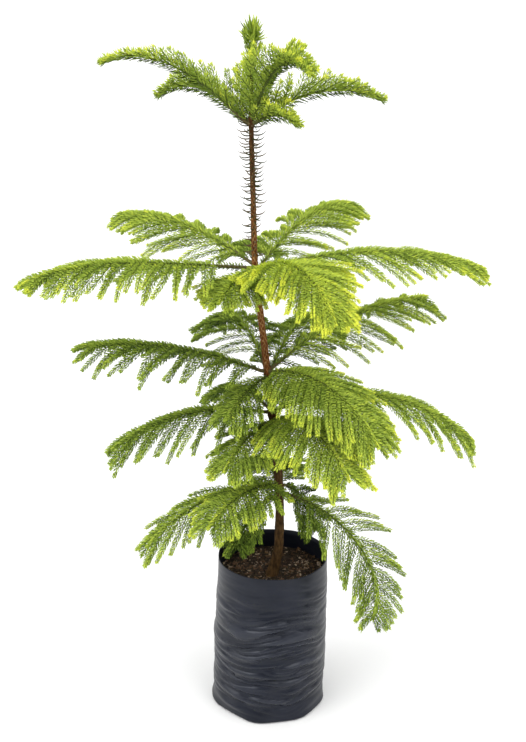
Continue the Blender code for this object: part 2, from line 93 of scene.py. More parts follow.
class Path:
    """A line of points that is read by its share of the length."""

    def __init__(self, points: np.ndarray) -> None:
        """Measure the line.

        Args:
            points: Its points, one a row.
        """
        steps = np.diff(points, axis=0)
        runs = np.linalg.norm(steps, axis=1)
        self.points = points
        self.length = float(runs.sum())
        self.marks = np.concatenate(([0.0], np.cumsum(runs))) / self.length
        self.headings = steps / runs[:, None]

    @classmethod
    def run(cls, start: np.ndarray, steps: np.ndarray) -> "Path":
        """Run a line from its start by steps, one a row."""
        return cls(np.concatenate((start[None], start + np.cumsum(steps, axis=0))))

    def at(self, shares: np.ndarray) -> np.ndarray:
        """Read the points at shares of the length, one a row."""
        columns = [np.interp(shares, self.marks, self.points[:, axis]) for axis in range(3)]
        return np.stack(columns, axis=-1)

    def ahead(self, shares: np.ndarray) -> np.ndarray:
        """Read the line's direction.

        Args:
            shares: Shares of the length.

        Returns:
            One unit vector a row.
        """
        middles = 0.5 * (self.marks[1:] + self.marks[:-1])
        columns = [np.interp(shares, middles, self.headings[:, axis]) for axis in range(3)]
        return unit(np.stack(columns, axis=-1))

    def cut(self, start: float, end: float, count: int) -> "Path":
        """Take the stretch from one share of the line to another, with a count of points."""
        return Path(self.at(np.linspace(start, end, count)))


def ring_faces(rings: int, sides: int) -> np.ndarray:
    """List the triangles of a skin over rings of points, closed by a point at each end.

    Args:
        rings: Number of rings.
        sides: Points in each ring.

    Returns:
        Triangles of point numbers: the rings come first, then the two end points.
    """
    start = np.arange(rings - 1)[:, None] * sides
    here = np.arange(sides)[None, :]
    after = (here + 1) % sides
    a, b = start + here, start + after
    c, d = b + sides, a + sides
    walls = [np.stack(corners, -1).reshape(-1, 3) for corners in ((a, b, c), (a, c, d))]
    first, last = rings * sides, rings * sides + 1
    here, after = here[0], after[0]
    top = (rings - 1) * sides
    foot_fan = np.stack((np.full(sides, first), after, here), -1)
    head_fan = np.stack((np.full(sides, last), top + here, top + after), -1)
    return np.concatenate((*walls, foot_fan, head_fan))


def tube_points(path: Path, radii: np.ndarray, sides: int, level: np.ndarray = UP) -> np.ndarray:
    """Place the points of a tube: a ring at each point of a path, then the two ends.

    Args:
        path: The tube's centre line.
        radii: Radius for each ring, or for each ring and side.
        sides: Points in each ring.
        level: A direction that the path never takes, from which turns are counted.

    Returns:
        The points, in the order that ring_faces expects.
    """
    shares = path.marks
    ahead = path.ahead(shares)
    across = unit(np.cross(ahead, level))
    over = np.cross(ahead, across)
    turns = np.arange(sides) * (FULL_TURN / sides)
    out = across[:, None] * np.cos(turns)[None, :, None] + over[:, None] * np.sin(turns)[None, :, None]
    wide = radii[:, None, None] if radii.ndim == 1 else radii[:, :, None]
    rings = path.points[:, None] + out * wide
    return np.concatenate((rings.reshape(-1, 3), path.points[:1], path.points[-1:]))


class Skin:
    """Points and triangles gathered for one joined piece."""

    def __init__(self) -> None:
        """Start with nothing."""
        self.points: list[np.ndarray] = []
        self.faces: list[np.ndarray] = []
        self.kinds: list[np.ndarray] = []
        self.count = 0

    def add(self, points: np.ndarray, faces: np.ndarray, kinds: np.ndarray | int = 0) -> None:
        """Add a closed shape.

        Args:
            points: Its points.
            faces: Its triangles, of its own point numbers.
            kinds: Material number of each triangle, or of all.
        """
        self.points.append(points)
        self.faces.append(faces + self.count)
        self.kinds.append(np.broadcast_to(np.asarray(kinds), (len(faces),)))
        self.count += len(points)

    def mesh(self, name: str, smooth: bool) -> Mesh:
        """Make the mesh.

        Args:
            name: Its name.
            smooth: Whether its faces are shaded smooth.

        Returns:
            The mesh, with no materials yet.
        """
        points = np.concatenate(self.points).astype(np.float32)
        faces = np.concatenate(self.faces).astype(np.int32)
        mesh = bpy.data.meshes.new(name)
        mesh.vertices.add(len(points))
        mesh.vertices.foreach_set("co", points.ravel())
        mesh.loops.add(faces.size)
        mesh.loops.foreach_set("vertex_index", faces.ravel())
        mesh.polygons.add(len(faces))
        mesh.polygons.foreach_set("loop_start", np.arange(0, faces.size, 3, dtype=np.int32))
        mesh.polygons.foreach_set("material_index", np.concatenate(self.kinds).astype(np.int32))
        mesh.polygons.foreach_set("use_smooth", np.full(len(faces), smooth))
        mesh.update(calc_edges=True)
        return mesh


def add_piece(mesh: Mesh, materials: list[Material], nodes: tuple[str, ...] = ()) -> Object:
    """Show a finished mesh as a piece that rides on the plant's one body.

    Args:
        mesh: The mesh, whose name the piece takes.
        materials: Its materials, in the order of its material numbers.
        nodes: The CAD nodes that it stands for.

    Returns:
        The piece.
    """
    for material in materials:
        mesh.materials.append(material)
    item = bpy.data.objects.new(mesh.name, mesh)
    bpy.context.scene.collection.objects.link(item)
    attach(item, "root")
    if nodes:
        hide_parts(*nodes)
    LOG.info("%s: %d faces", item.name, len(mesh.polygons))
    return item


def mark_points(mesh: Mesh, name: str, values: np.ndarray) -> None:
    """Keep a named value for each point of a mesh, for its material to read."""
    layer = mesh.attributes.new(name, "FLOAT", "POINT")
    layer.data.foreach_set("value", values.astype(np.float32))


# Shader groups and finishes


def opaque(colour: Colour) -> tuple[float, float, float, float]:
    """Add the alpha that a colour socket takes."""
    return (*colour, 1.0)


class Wiring:
    """A node tree with the helpers that put in its nodes and join them."""

    def __init__(self, tree: NodeTree) -> None:
        """Keep the nodes and the links of the tree to wire."""
        self.nodes = tree.nodes
        self.link = tree.links.new

    def put(self, kind: str, feeds: dict[int | str, object], **settings: object) -> Node:
        """Put in a node.

        Args:
            kind: Its type, without the leading "ShaderNode".
            feeds: The socket or the value that goes into each input, by name or number.
            **settings: Settings of the node itself.

        Returns:
            The node.
        """
        node = self.nodes.new("ShaderNode" + kind)
        for name, value in settings.items():
            setattr(node, name, value)
        for label, value in feeds.items():
            if isinstance(value, NodeSocket):
                self.link(value, node.inputs[label])
            else:
                node.inputs[label].default_value = value
        return node

    def worked(self, operation: str, *values: NodeSocket | float, clamp: bool = False) -> NodeSocket:
        """Do a sum, by its name in Blender, and keep it between 0 and 1 where clamp is set."""
        feeds = dict(enumerate(values))
        return self.put("Math", feeds, operation=operation, use_clamp=clamp).outputs[0]

    def clouds(self, place: NodeSocket, scale: NodeSocket, detail: float) -> NodeSocket:
        """Read noise from 0 to 1 at a place, with so many finer layers as detail."""
        feeds = {"Vector": place, "Scale": scale, "Detail": detail}
        return self.put("TexNoise", feeds).outputs["Fac"]

    def mixed(
        self,
        share: NodeSocket | float,
        low: NodeSocket | Colour,
        high: NodeSocket | Colour,
        blend: str = "MIX",
    ) -> NodeSocket:
        """Mix two colours.

        Args:
            share: How much of the second shows.
            low: The first colour, or the socket that gives it.
            high: The second colour, or the socket that gives it.
            blend: How they mix, as Blender names it.

        Returns:
            The mixed colour.
        """
        low, high = (opaque(value) if isinstance(value, tuple) else value for value in (low, high))
        feeds = {0: share, 6: low, 7: high}
        return self.put("Mix", feeds, data_type="RGBA", blend_type=blend).outputs[2]

    def ranged(
        self, value: NodeSocket, start: float, end: float, low: float = 0.0, high: float = 1.0
    ) -> NodeSocket:
        """Spread a value's range from start to end over the range from low to high."""
        feeds = {"Value": value, "From Min": start, "From Max": end, "To Min": low, "To Max": high}
        return self.put("MapRange", feeds).outputs[0]


class SharedGroup:
    """A shader group that is built once and placed in each material that uses it.

    An input's default tells its kind: a tuple of four is a colour, and None a vector.
    """

    NAME = ""
    INPUTS: dict[str, object] = {}
    OUTPUTS: dict[str, str] = {}
    DETAIL = 5.0

    @classmethod
    def group(cls) -> NodeTree:
        """Build the group on first use.

        Returns:
            The group.
        """
        group = bpy.data.node_groups.get(cls.NAME)
        if group is None:
            group = cls.start()
            cls.wire(Wiring(group), group.nodes["in"].outputs, group.nodes["out"].inputs)
        return group

    @classmethod
    def start(cls) -> NodeTree:
        """Make the group with its sockets and nothing between them.

        Returns:
            The group, with its two end nodes named "in" and "out".
        """
        group = bpy.data.node_groups.new(cls.NAME, "ShaderNodeTree")
        for label, value in cls.INPUTS.items():
            kind = "NodeSocketColor" if isinstance(value, tuple) else "NodeSocketFloat"
            kind = "NodeSocketVector" if value is None else kind
            socket = group.interface.new_socket(label, in_out="INPUT", socket_type=kind)
            if value is not None:
                socket.default_value = value
        for label, kind in cls.OUTPUTS.items():
            group.interface.new_socket(label, in_out="OUTPUT", socket_type=kind)
        group.nodes.new("NodeGroupInput").name = "in"
        group.nodes.new("NodeGroupOutput").name = "out"
        return group

    @classmethod
    def wire(cls, bench: Wiring, given: Sockets, wanted: Sockets) -> None:
        """Wire the group on its bench, from the sockets it is given to those wanted of it."""
        raise NotImplementedError


class GrainGroup(SharedGroup):
    """Two colours that change over a surface by stretched noise, with its height."""

    NAME = "grain"
    INPUTS = {
        "Place": None,
        "Scale": 200.0,
        "Flatten X": 1.0,
        "Flatten Z": 1.0,
        "Contrast": 2.0,
        "Dark": (0.1, 0.1, 0.1, 1.0),
        "Light": (0.5, 0.5, 0.5, 1.0),
    }
    OUTPUTS = {"Color": "NodeSocketColor", "Height": "NodeSocketFloat"}

    @classmethod
    def wire(cls, bench: Wiring, given: Sockets, wanted: Sockets) -> None:
        """Stretch the place, read noise there, sharpen it, and mix the colours by it.

        Args:
            bench: The group's own bench.
            given: Its inputs.
            wanted: Its outputs.
        """
        flatten = {"X": given["Flatten X"], "Y": given["Flatten X"], "Z": given["Flatten Z"]}
        stretch = bench.put("CombineXYZ", flatten).outputs[0]
        place = bench.put("VectorMath", {0: given["Place"], 1: stretch}, operation="MULTIPLY").outputs[0]
        centred = bench.worked("SUBTRACT", bench.clouds(place, given["Scale"], cls.DETAIL), 0.5)
        height = bench.worked("MULTIPLY_ADD", centred, given["Contrast"], 0.5, clamp=True)
        bench.link(bench.mixed(height, given["Dark"], given["Light"]), wanted["Color"])
        bench.link(height, wanted["Height"])


class DustGroup(SharedGroup):
    """A thin pale dust that lies in patches, thicker where a surface looks up."""

    NAME = "dust"
    INPUTS = {
        "Place": None,
        "Facing": None,
        "Amount": 0.3,
        "Scale": 30.0,
        "Clean": (0.1, 0.1, 0.1, 1.0),
        "Dusty": (0.4, 0.4, 0.4, 1.0),
    }
    OUTPUTS = {"Color": "NodeSocketColor", "Mask": "NodeSocketFloat"}
    DETAIL = 4.0
    PATCHES = (0.42, 0.70)
    LYING = (-0.6, 0.8)

    @classmethod
    def wire(cls, bench: Wiring, given: Sockets, wanted: Sockets) -> None:
        """Lay patches of noise, weighed by how far up the normal looks.

        Args:
            bench: The group's own bench.
            given: Its inputs.
            wanted: Its outputs.
        """
        patches = bench.ranged(bench.clouds(given["Place"], given["Scale"], cls.DETAIL), *cls.PATCHES)
        facing = bench.put("SeparateXYZ", {0: given["Facing"]})
        lying = bench.ranged(facing.outputs["Z"], *cls.LYING)
        mask = bench.worked("MULTIPLY", bench.worked("MULTIPLY", patches, lying), given["Amount"])
        bench.link(bench.mixed(mask, given["Clean"], given["Dusty"]), wanted["Color"])
        bench.link(mask, wanted["Mask"])


class NodeBench(Wiring):
    """A new material with its Principled shader and the helpers that feed it."""

    def __init__(self, name: str, roughness: float, specular: float) -> None:
        """Make the material.

        Args:
            name: Its name.
            roughness: Roughness of its shader.
            specular: Specular level of its shader.
        """
        self.material = bpy.data.materials.new(name)
        self.material.use_nodes = True
        super().__init__(self.material.node_tree)
        self.shader = self.nodes["Principled BSDF"]
        self.give("Roughness", roughness)
        self.give("Specular IOR Level", specular)
        self.give("Metallic", 0.0)

    def give(self, label: str, value: float | tuple[float, ...]) -> None:
        """Set a value on the shader's own socket."""
        self.shader.inputs[label].default_value = value

    def place(self) -> NodeSocket:
        """Give the object's own coordinates."""
        return self.put("TexCoord", {}).outputs["Object"]

    def facing(self) -> NodeSocket:
        """Give the surface's normal."""
        return self.put("NewGeometry", {}).outputs["Normal"]

    def height(self) -> NodeSocket:
        """Give the height above the floor."""
        return self.put("SeparateXYZ", {0: self.place()}).outputs["Z"]

    def attribute(self, name: str) -> NodeSocket:
        """Give a value kept in the mesh under a name."""
        return self.put("Attribute", {}, attribute_name=name).outputs["Fac"]

    def grain(self, dark: Colour, light: Colour, scale: float, **values: float) -> Node:
        """Put in the grain group.

        Args:
            dark: The colour in its hollows.
            light: The colour on its heights.
            scale: Scale of the noise.
            **values: Other inputs, with a space written as an underscore.

        Returns:
            The group's node.
        """
        feeds = {label.replace("_", " "): value for label, value in values.items()}
        feeds |= {"Place": self.place(), "Scale": scale, "Dark": opaque(dark), "Light": opaque(light)}
        return self.put("Group", feeds, node_tree=GrainGroup.group())

    def dust(self, clean: NodeSocket, dusty: Colour, amount: float, scale: float) -> Node:
        """Put in the dust group over a colour.

        Args:
            clean: The colour under the dust.
            dusty: The dust's own colour.
            amount: How much of it lies there.
            scale: Scale of its patches.

        Returns:
            The group's node.
        """
        feeds = {"Place": self.place(), "Facing": self.facing(), "Clean": clean}
        feeds |= {"Dusty": opaque(dusty), "Amount": amount, "Scale": scale}
        return self.put("Group", feeds, node_tree=DustGroup.group())

    def colour(self, socket: NodeSocket) -> None:
        """Give the shader its base colour."""
        self.link(socket, self.shader.inputs["Base Color"])

    def bump(self, height: NodeSocket, depth: float, strength: float) -> None:
        """Give the shader a relief of a height from 0 to 1, with its depth in metres."""
        node = self.put("Bump", {"Strength": strength, "Distance": depth, "Height": height})
        self.link(node.outputs[0], self.shader.inputs["Normal"])


class Tone(Enum):
    """Plain needle colours, from shaded old growth to the newest tips."""

    SHADE = (0.032, 0.055, 0.005)
    DEEP = (0.086, 0.136, 0.019)
    MID = (0.170, 0.252, 0.034)
    FRESH = (0.284, 0.386, 0.052)
    LIGHT = (0.410, 0.520, 0.074)
    LIME = (0.565, 0.662, 0.080)
    YELLOW = (0.745, 0.780, 0.085)


@dataclass(frozen=True)
class NeedleFinish:
    """A plain needle colour with a soft shine."""

    name: str
    colour: Colour
    roughness: float = 0.60
    specular: float = 0.06

    def material(self) -> Material:
        """Make the material.

        Returns:
            The material.
        """
        bench = NodeBench(self.name, self.roughness, self.specular)
        bench.give("Base Color", opaque(self.colour))
        return bench.material


@dataclass(frozen=True)
class TrunkFinish:
    """Brown bark, redder in the middle, with pale edges on its leaf scales."""

    foot: Colour = (0.105, 0.056, 0.020)
    middle: Colour = (0.200, 0.066, 0.016)
    top: Colour = (0.085, 0.038, 0.011)
    scale_edge: Colour = (0.560, 0.340, 0.140)
    dusty: Colour = (0.240, 0.200, 0.150)
    hollow: Colour = (0.16, 0.14, 0.12)
    crest: Colour = (1.0, 1.0, 1.0)
    shading: float = 0.75
    foot_to_middle: tuple[float, float] = (0.56, 0.64)
    middle_to_top: tuple[float, float] = (0.90, 1.00)

    def material(self) -> Material:
        """Make the material.

        Returns:
            The material.
        """
        bench = NodeBench("trunk_bark", 0.85, 0.12)
        height = bench.height()
        lower = bench.mixed(bench.ranged(height, *self.foot_to_middle), self.foot, self.middle)
        whole = bench.mixed(bench.ranged(height, *self.middle_to_top), lower, self.top)
        grain = bench.grain(self.hollow, self.crest, 240.0, Flatten_Z=0.35, Contrast=3.4)
        shaded = bench.mixed(self.shading, whole, grain.outputs["Color"], "MULTIPLY")
        edges = bench.ranged(bench.attribute("scale_edge"), 0.50, 0.95, 0.0, 0.9)
        flecked = bench.mixed(edges, shaded, self.scale_edge)
        dust = bench.dust(flecked, self.dusty, 0.05, 60.0)
        bench.colour(dust.outputs["Color"])
        bench.bump(grain.outputs["Height"], 0.0006, 0.8)
        return bench.material


@dataclass(frozen=True)
class StemFinish:
    """Young bark of a bough or twig, greener where the mesh is marked as young."""

    name: str
    dark: Colour
    light: Colour
    young: Colour
    scale: float = 320.0

    def material(self) -> Material:
        """Make the material.

        Returns:
            The material.
        """
        bench = NodeBench(self.name, 0.75, 0.3)
        grain = bench.grain(self.dark, self.light, self.scale, Flatten_Z=0.6, Contrast=2.5)
        bench.colour(bench.mixed(bench.attribute("young"), grain.outputs["Color"], self.young))
        bench.bump(grain.outputs["Height"], 0.0003, 0.6)
        return bench.material


@dataclass(frozen=True)
class FilmFinish:
    """Slate black film with fine stretch lines and a little dust: its fold crests get a painted highlight and
    are shinier.
    """

    dark: Colour = (0.0035, 0.0045, 0.0080)
    light: Colour = (0.0080, 0.0100, 0.0190)
    shine: Colour = (0.88, 0.92, 1.0)
    painted_highlight: Colour = (0.085, 0.092, 0.115)
    dusty: Colour = (0.070, 0.068, 0.068)

    def material(self) -> Material:
        """Make the material.

        Returns:
            The material.
        """
        bench = NodeBench("film_bag", 0.30, 0.27)
        bench.give("Specular Tint", opaque(self.shine))
        cloudy = bench.grain(self.dark, self.light, 14.0, Flatten_Z=2.0, Contrast=2.0)
        # Painted highlight: the colour is lightened on the fold crests and left dark in the creases; the same
        # mark makes the crests shinier.
        raised = bench.attribute("fold_crest_highlight")
        painted_highlight = bench.ranged(raised, 0.45, 0.95, 0.0, 0.22)
        fold_crest_highlight = bench.mixed(painted_highlight, cloudy.outputs["Color"], self.painted_highlight)
        dust = bench.dust(fold_crest_highlight, self.dusty, 0.14, 22.0)
        bench.colour(dust.outputs["Color"])
        lines = bench.grain(self.dark, self.light, 70.0, Flatten_X=0.40, Flatten_Z=2.2, Contrast=1.4)
        bench.bump(lines.outputs["Height"], 0.0010, 0.30)
        bench.link(bench.ranged(raised, 0.0, 0.60, 0.40, 0.22), bench.shader.inputs["Roughness"])
        return bench.material


@dataclass(frozen=True)
class BarkMixFinish:
    """Damp potting bark: a grain of two browns with a dry bloom in places."""

    name: str
    dark: Colour
    light: Colour
    dusty: Colour = (0.260, 0.200, 0.140)
    roughness: float = 0.9

    def material(self) -> Material:
        """Make the material.

        Returns:
            The material.
        """
        bench = NodeBench(self.name, self.roughness, 0.25)
        grain = bench.grain(self.dark, self.light, 420.0, Contrast=3.0)
        dust = bench.dust(grain.outputs["Color"], self.dusty, 0.14, 140.0)
        bench.colour(dust.outputs["Color"])
        bench.bump(grain.outputs["Height"], 0.0008, 0.9)
        return bench.material


# The plant


@dataclass(frozen=True)
class Tier:
    """A whorl of boughs: its height on the trunk and the habit of its twigs and needles.

    Hang is how much a twig bends down by its tip, and lift how much it leaves its frond
    upwards. The spread is its angle from its bough, in degrees, near the trunk and at the
    tip. The gap is the distance between twigs along a bough, counting both sides, and the
    fade is how much shorter than the longest the last of them is. Blunt is how far the last
    ones may reach past the tip. Needle and width are a needle's sizes, lean its angle from
    its twig in degrees, and upsweep how much it turns up.
    """

    height: float
    hang: float
    lift: float
    spread: tuple[float, float]
    gap: float
    slot: str
    needle: float
    width: float
    lean: float
    upsweep: float
    fade: float
    blunt: float


TIERS = {
    1: Tier(1.094, 0, 0.75, (50, 26), 0.015, "young_foliage", 0.0145, 0.0022, 58, 0.15, 0.7, 0.008),
    2: Tier(0.849, 0.62, -0.1, (60, 28), 0.0066, "upper_foliage", 0.011, 0.0022, 52, 0.06, 0.42, 0.012),
    3: Tier(0.661, 0.85, -0.14, (66, 34), 0.0074, "middle_foliage", 0.0104, 0.0023, 52, 0.02, 0.3, 0.02),
    4: Tier(0.582, 0.92, -0.14, (66, 34), 0.0074, "lower_foliage", 0.0104, 0.0023, 52, 0.02, 0.32, 0.02),
    5: Tier(0.44, 0.75, -0.08, (60, 34), 0.0094, "lower_foliage", 0.0106, 0.0025, 52, 0.02, 0.3, 0.026),
}


@dataclass(frozen=True)
class Bough:
    """One bough: its line, its twigs and the tone of its needles.

    Azimuth, rise and fall are in degrees: the way it leaves the trunk, seen from above,
    and its pitch at the trunk and at the tip. A bend above 1 keeps the turn for the tip.
    Lift is how far above its tier it leaves the trunk, twig the length of its longest twig,
    and bare the length of limb without twigs. The tone counts the steps of Tone, and the
    tip gain how many more the twigs' tips get. The roll is how far the frond has turned
    about its bough by the tip, in degrees. Dense is how much closer than usual its twigs
    stand, limp how much more they hang, and wide how much further they spread.
    """

    name: str
    tier: int
    azimuth: float
    length: float
    rise: float
    fall: float
    bend: float
    lift: float
    twig: float
    bare: float
    tone: float
    tip_gain: float = 1.3
    roll: float = 0.0
    dense: float = 1.0
    limp: float = 1.0
    wide: float = 1.0


BOUGHS = (
    Bough("tier1_left", 1, 182, 0.265, 44, -23, 2.3, 0, 0.043, 0.034, 3.2, 1.8, 0, 1.2),
    Bough("tier1_back_left", 1, 148, 0.192, 36, -36, 1.6, 0.004, 0.062, 0, 3, 1.4, 0, 1.9),
    Bough("tier1_front", 1, -62, 0.232, 60, -26, 1.6, 0.01, 0.068, 0, 3.2, 2.2, 0, 2.6),
    Bough("tier1_right", 1, 12, 0.227, 37, -26, 1.2, 0, 0.058, 0.01, 3.1, 1.8, 0, 1.7),
    Bough("tier1_front_right", 1, -30, 0.085, 34, -34, 1.2, 0.002, 0.042, 0, 3.6, 1.8, 0, 2.6),
    Bough("tier1_back", 1, 92, 0.15, 46, 5, 1.3, 0.006, 0.05, 0, 3.1, 1.8, 0, 1.8),
    Bough("tier2_left", 2, 209, 0.405, 11, -17, 3.4, 0.002, 0.104, 0.068, 3.1, 1.8, 0, 1.25),
    Bough("tier2_back_left", 2, 136, 0.35, 17.5, -16, 1.5, 0.008, 0.11, 0.032, 3, 1.6, 0, 1.1, 1.25),
    Bough("tier2_back", 2, 92, 0.22, 2, -25, 1.5, 0.012, 0.085, 0.036, 2),
    Bough("tier2_back_right", 2, 52, 0.304, 31.5, -22, 1.6, -0.002, 0.108, 0.03, 3, 2, 0, 1.2, 1.2),
    Bough("tier2_right", 2, 8, 0.402, 9.5, -24, 1.7, 0.002, 0.108, 0.075, 3.1, 1.8, 0, 1),
    Bough("tier2_front_right", 2, -61.5, 0.28, 29, -52, 1.4, -0.002, 0.116, 0, 3.9, 2.2, 0, 2.5, 0.55, 1.1),
    Bough("tier2_front_left", 2, 244, 0.13, 8, -28, 1.3, -0.006, 0.084, 0, 3.2, 1.6, 0, 2.2, 0.7, 1.15),
    Bough("tier3_left", 3, 195, 0.324, 25.5, -2, 1.3, 0.004, 0.104, 0.022, 2.1, 1.3, 0, 1.15, 0.9),
    Bough("tier3_back_left", 3, 114, 0.262, 44, -44, 1.1, 0.008, 0.106, 0.03, 2.1, 0.9),
    Bough("tier3_back_right", 3, 66, 0.31, 34, -40, 1.2, -0.002, 0.104, 0.012, 2.1, 0.9, 0, 1.1),
    Bough("tier3_right", 3, 34, 0.365, 30.5, -8, 1, 0.006, 0.112, 0.04, 3.1, 1.4, 0, 1.1),
    Bough("tier3_front_right", 3, -45, 0.276, 20, -54, 1.1, 0.004, 0.114, 0.01, 3.1, 1.9, 0, 2.4, 0.62, 1.08),
    Bough("tier3_front_left", 3, 236, 0.13, -4, -36, 1.2, -0.006, 0.08, 0, 2.3, 1.4, 0, 1.5, 0.9),
    Bough("tier4_left", 4, 192, 0.288, 14, -38, 1.2, 0.006, 0.108, 0.03, 2.1, 1.3, 0, 1.2),
    Bough("tier4_back_left", 4, 126, 0.2, 20, -45, 1.1, 0.01, 0.07, 0.034, 1.7, 0.8),
    Bough("tier4_back_right", 4, 64, 0.28, 20, -50, 1.1, -0.006, 0.09, 0.036, 1.7, 0.8),
    Bough("tier4_right", 4, -4, 0.372, 28, -44, 1, 0.01, 0.112, 0.045, 3, 1.5, 0, 1.1),
    Bough("tier4_front", 4, -61, 0.26, 27, -38, 1.1, -0.006, 0.108, 0, 3.3, 2.1, 0, 2.3, 0.66, 1.06),
    Bough("tier4_front_left", 4, 236, 0.15, 2, -40, 1.1, -0.01, 0.088, 0, 2.7, 1.6, 0, 2, 0.6, 1.1),
    Bough("tier5_left", 5, 198, 0.262, 11, -50, 1, 0.004, 0.104, 0.03, 2.4, 1.3, 0, 1, 0.9),
    Bough("tier5_front_left", 5, 232, 0.195, 19, -32, 1.2, 0.012, 0.09, 0, 2.8, 2, 0, 1.7, 0.6, 1.2),
    # tier5_front hangs inside the bag's rim: its low tone and tip gain are painted shade.
    Bough("tier5_front", 5, 205, 0.12, -16, -78, 0.8, -0.014, 0.056, 0.02, 1.3, 0.7, 70, 0.9, 1, 1),
    Bough(
        "tier5_front_right", 5, -30, 0.322, -4, -108, 1.3, -0.008, 0.092, 0.034, 2.3, 1.2, -55, 1.12, 0.8, 1.1
    ),
    # tier5_right also hangs inside the bag's rim: its low tone and tip gain are painted shade.
    Bough("tier5_right", 5, 20, 0.125, -26, -84, 0.7, 0.004, 0.06, 0.008, 1.4, 0.7, -100, 1, 0.8, 1.1),
    Bough("tier5_back", 5, 96, 0.2, 18, -46, 1.1, 0.002, 0.092, 0, 2.1, 1, 0, 1.8),
)


def scale_pattern(
    turn: np.ndarray, along: np.ndarray, starts: tuple[int, int], pitch: float
) -> np.ndarray:
    """Lay out the leaf scales of a young stem as the cells of two crossing spirals.

    Args:
        turn: Angle round the stem, in turns.
        along: Distance along the stem.
        starts: How many spirals run each way.
        pitch: Length of a scale along the stem.

    Returns:
        0 in the grooves between scales, rising to 1 in the middle of each.
    """
    right = turn * starts[0] + along / pitch
    left = turn * starts[1] - along / pitch
    from_edge = [0.5 - np.abs(value - np.floor(value) - 0.5) for value in (right, left)]
    return np.minimum(1.0, 4.0 * np.minimum(*from_edge))


def noise_at(points: np.ndarray) -> np.ndarray:
    """Read smooth noise at points.

    Args:
        points: Places in noise cells, one a row.

    Returns:
        Values from about -1 to 1.
    """
    flat = points.reshape(-1, 3)
    values = np.fromiter((noise.noise(Vector(point)) for point in flat), float, len(flat))
    return values.reshape(points.shape[:-1])


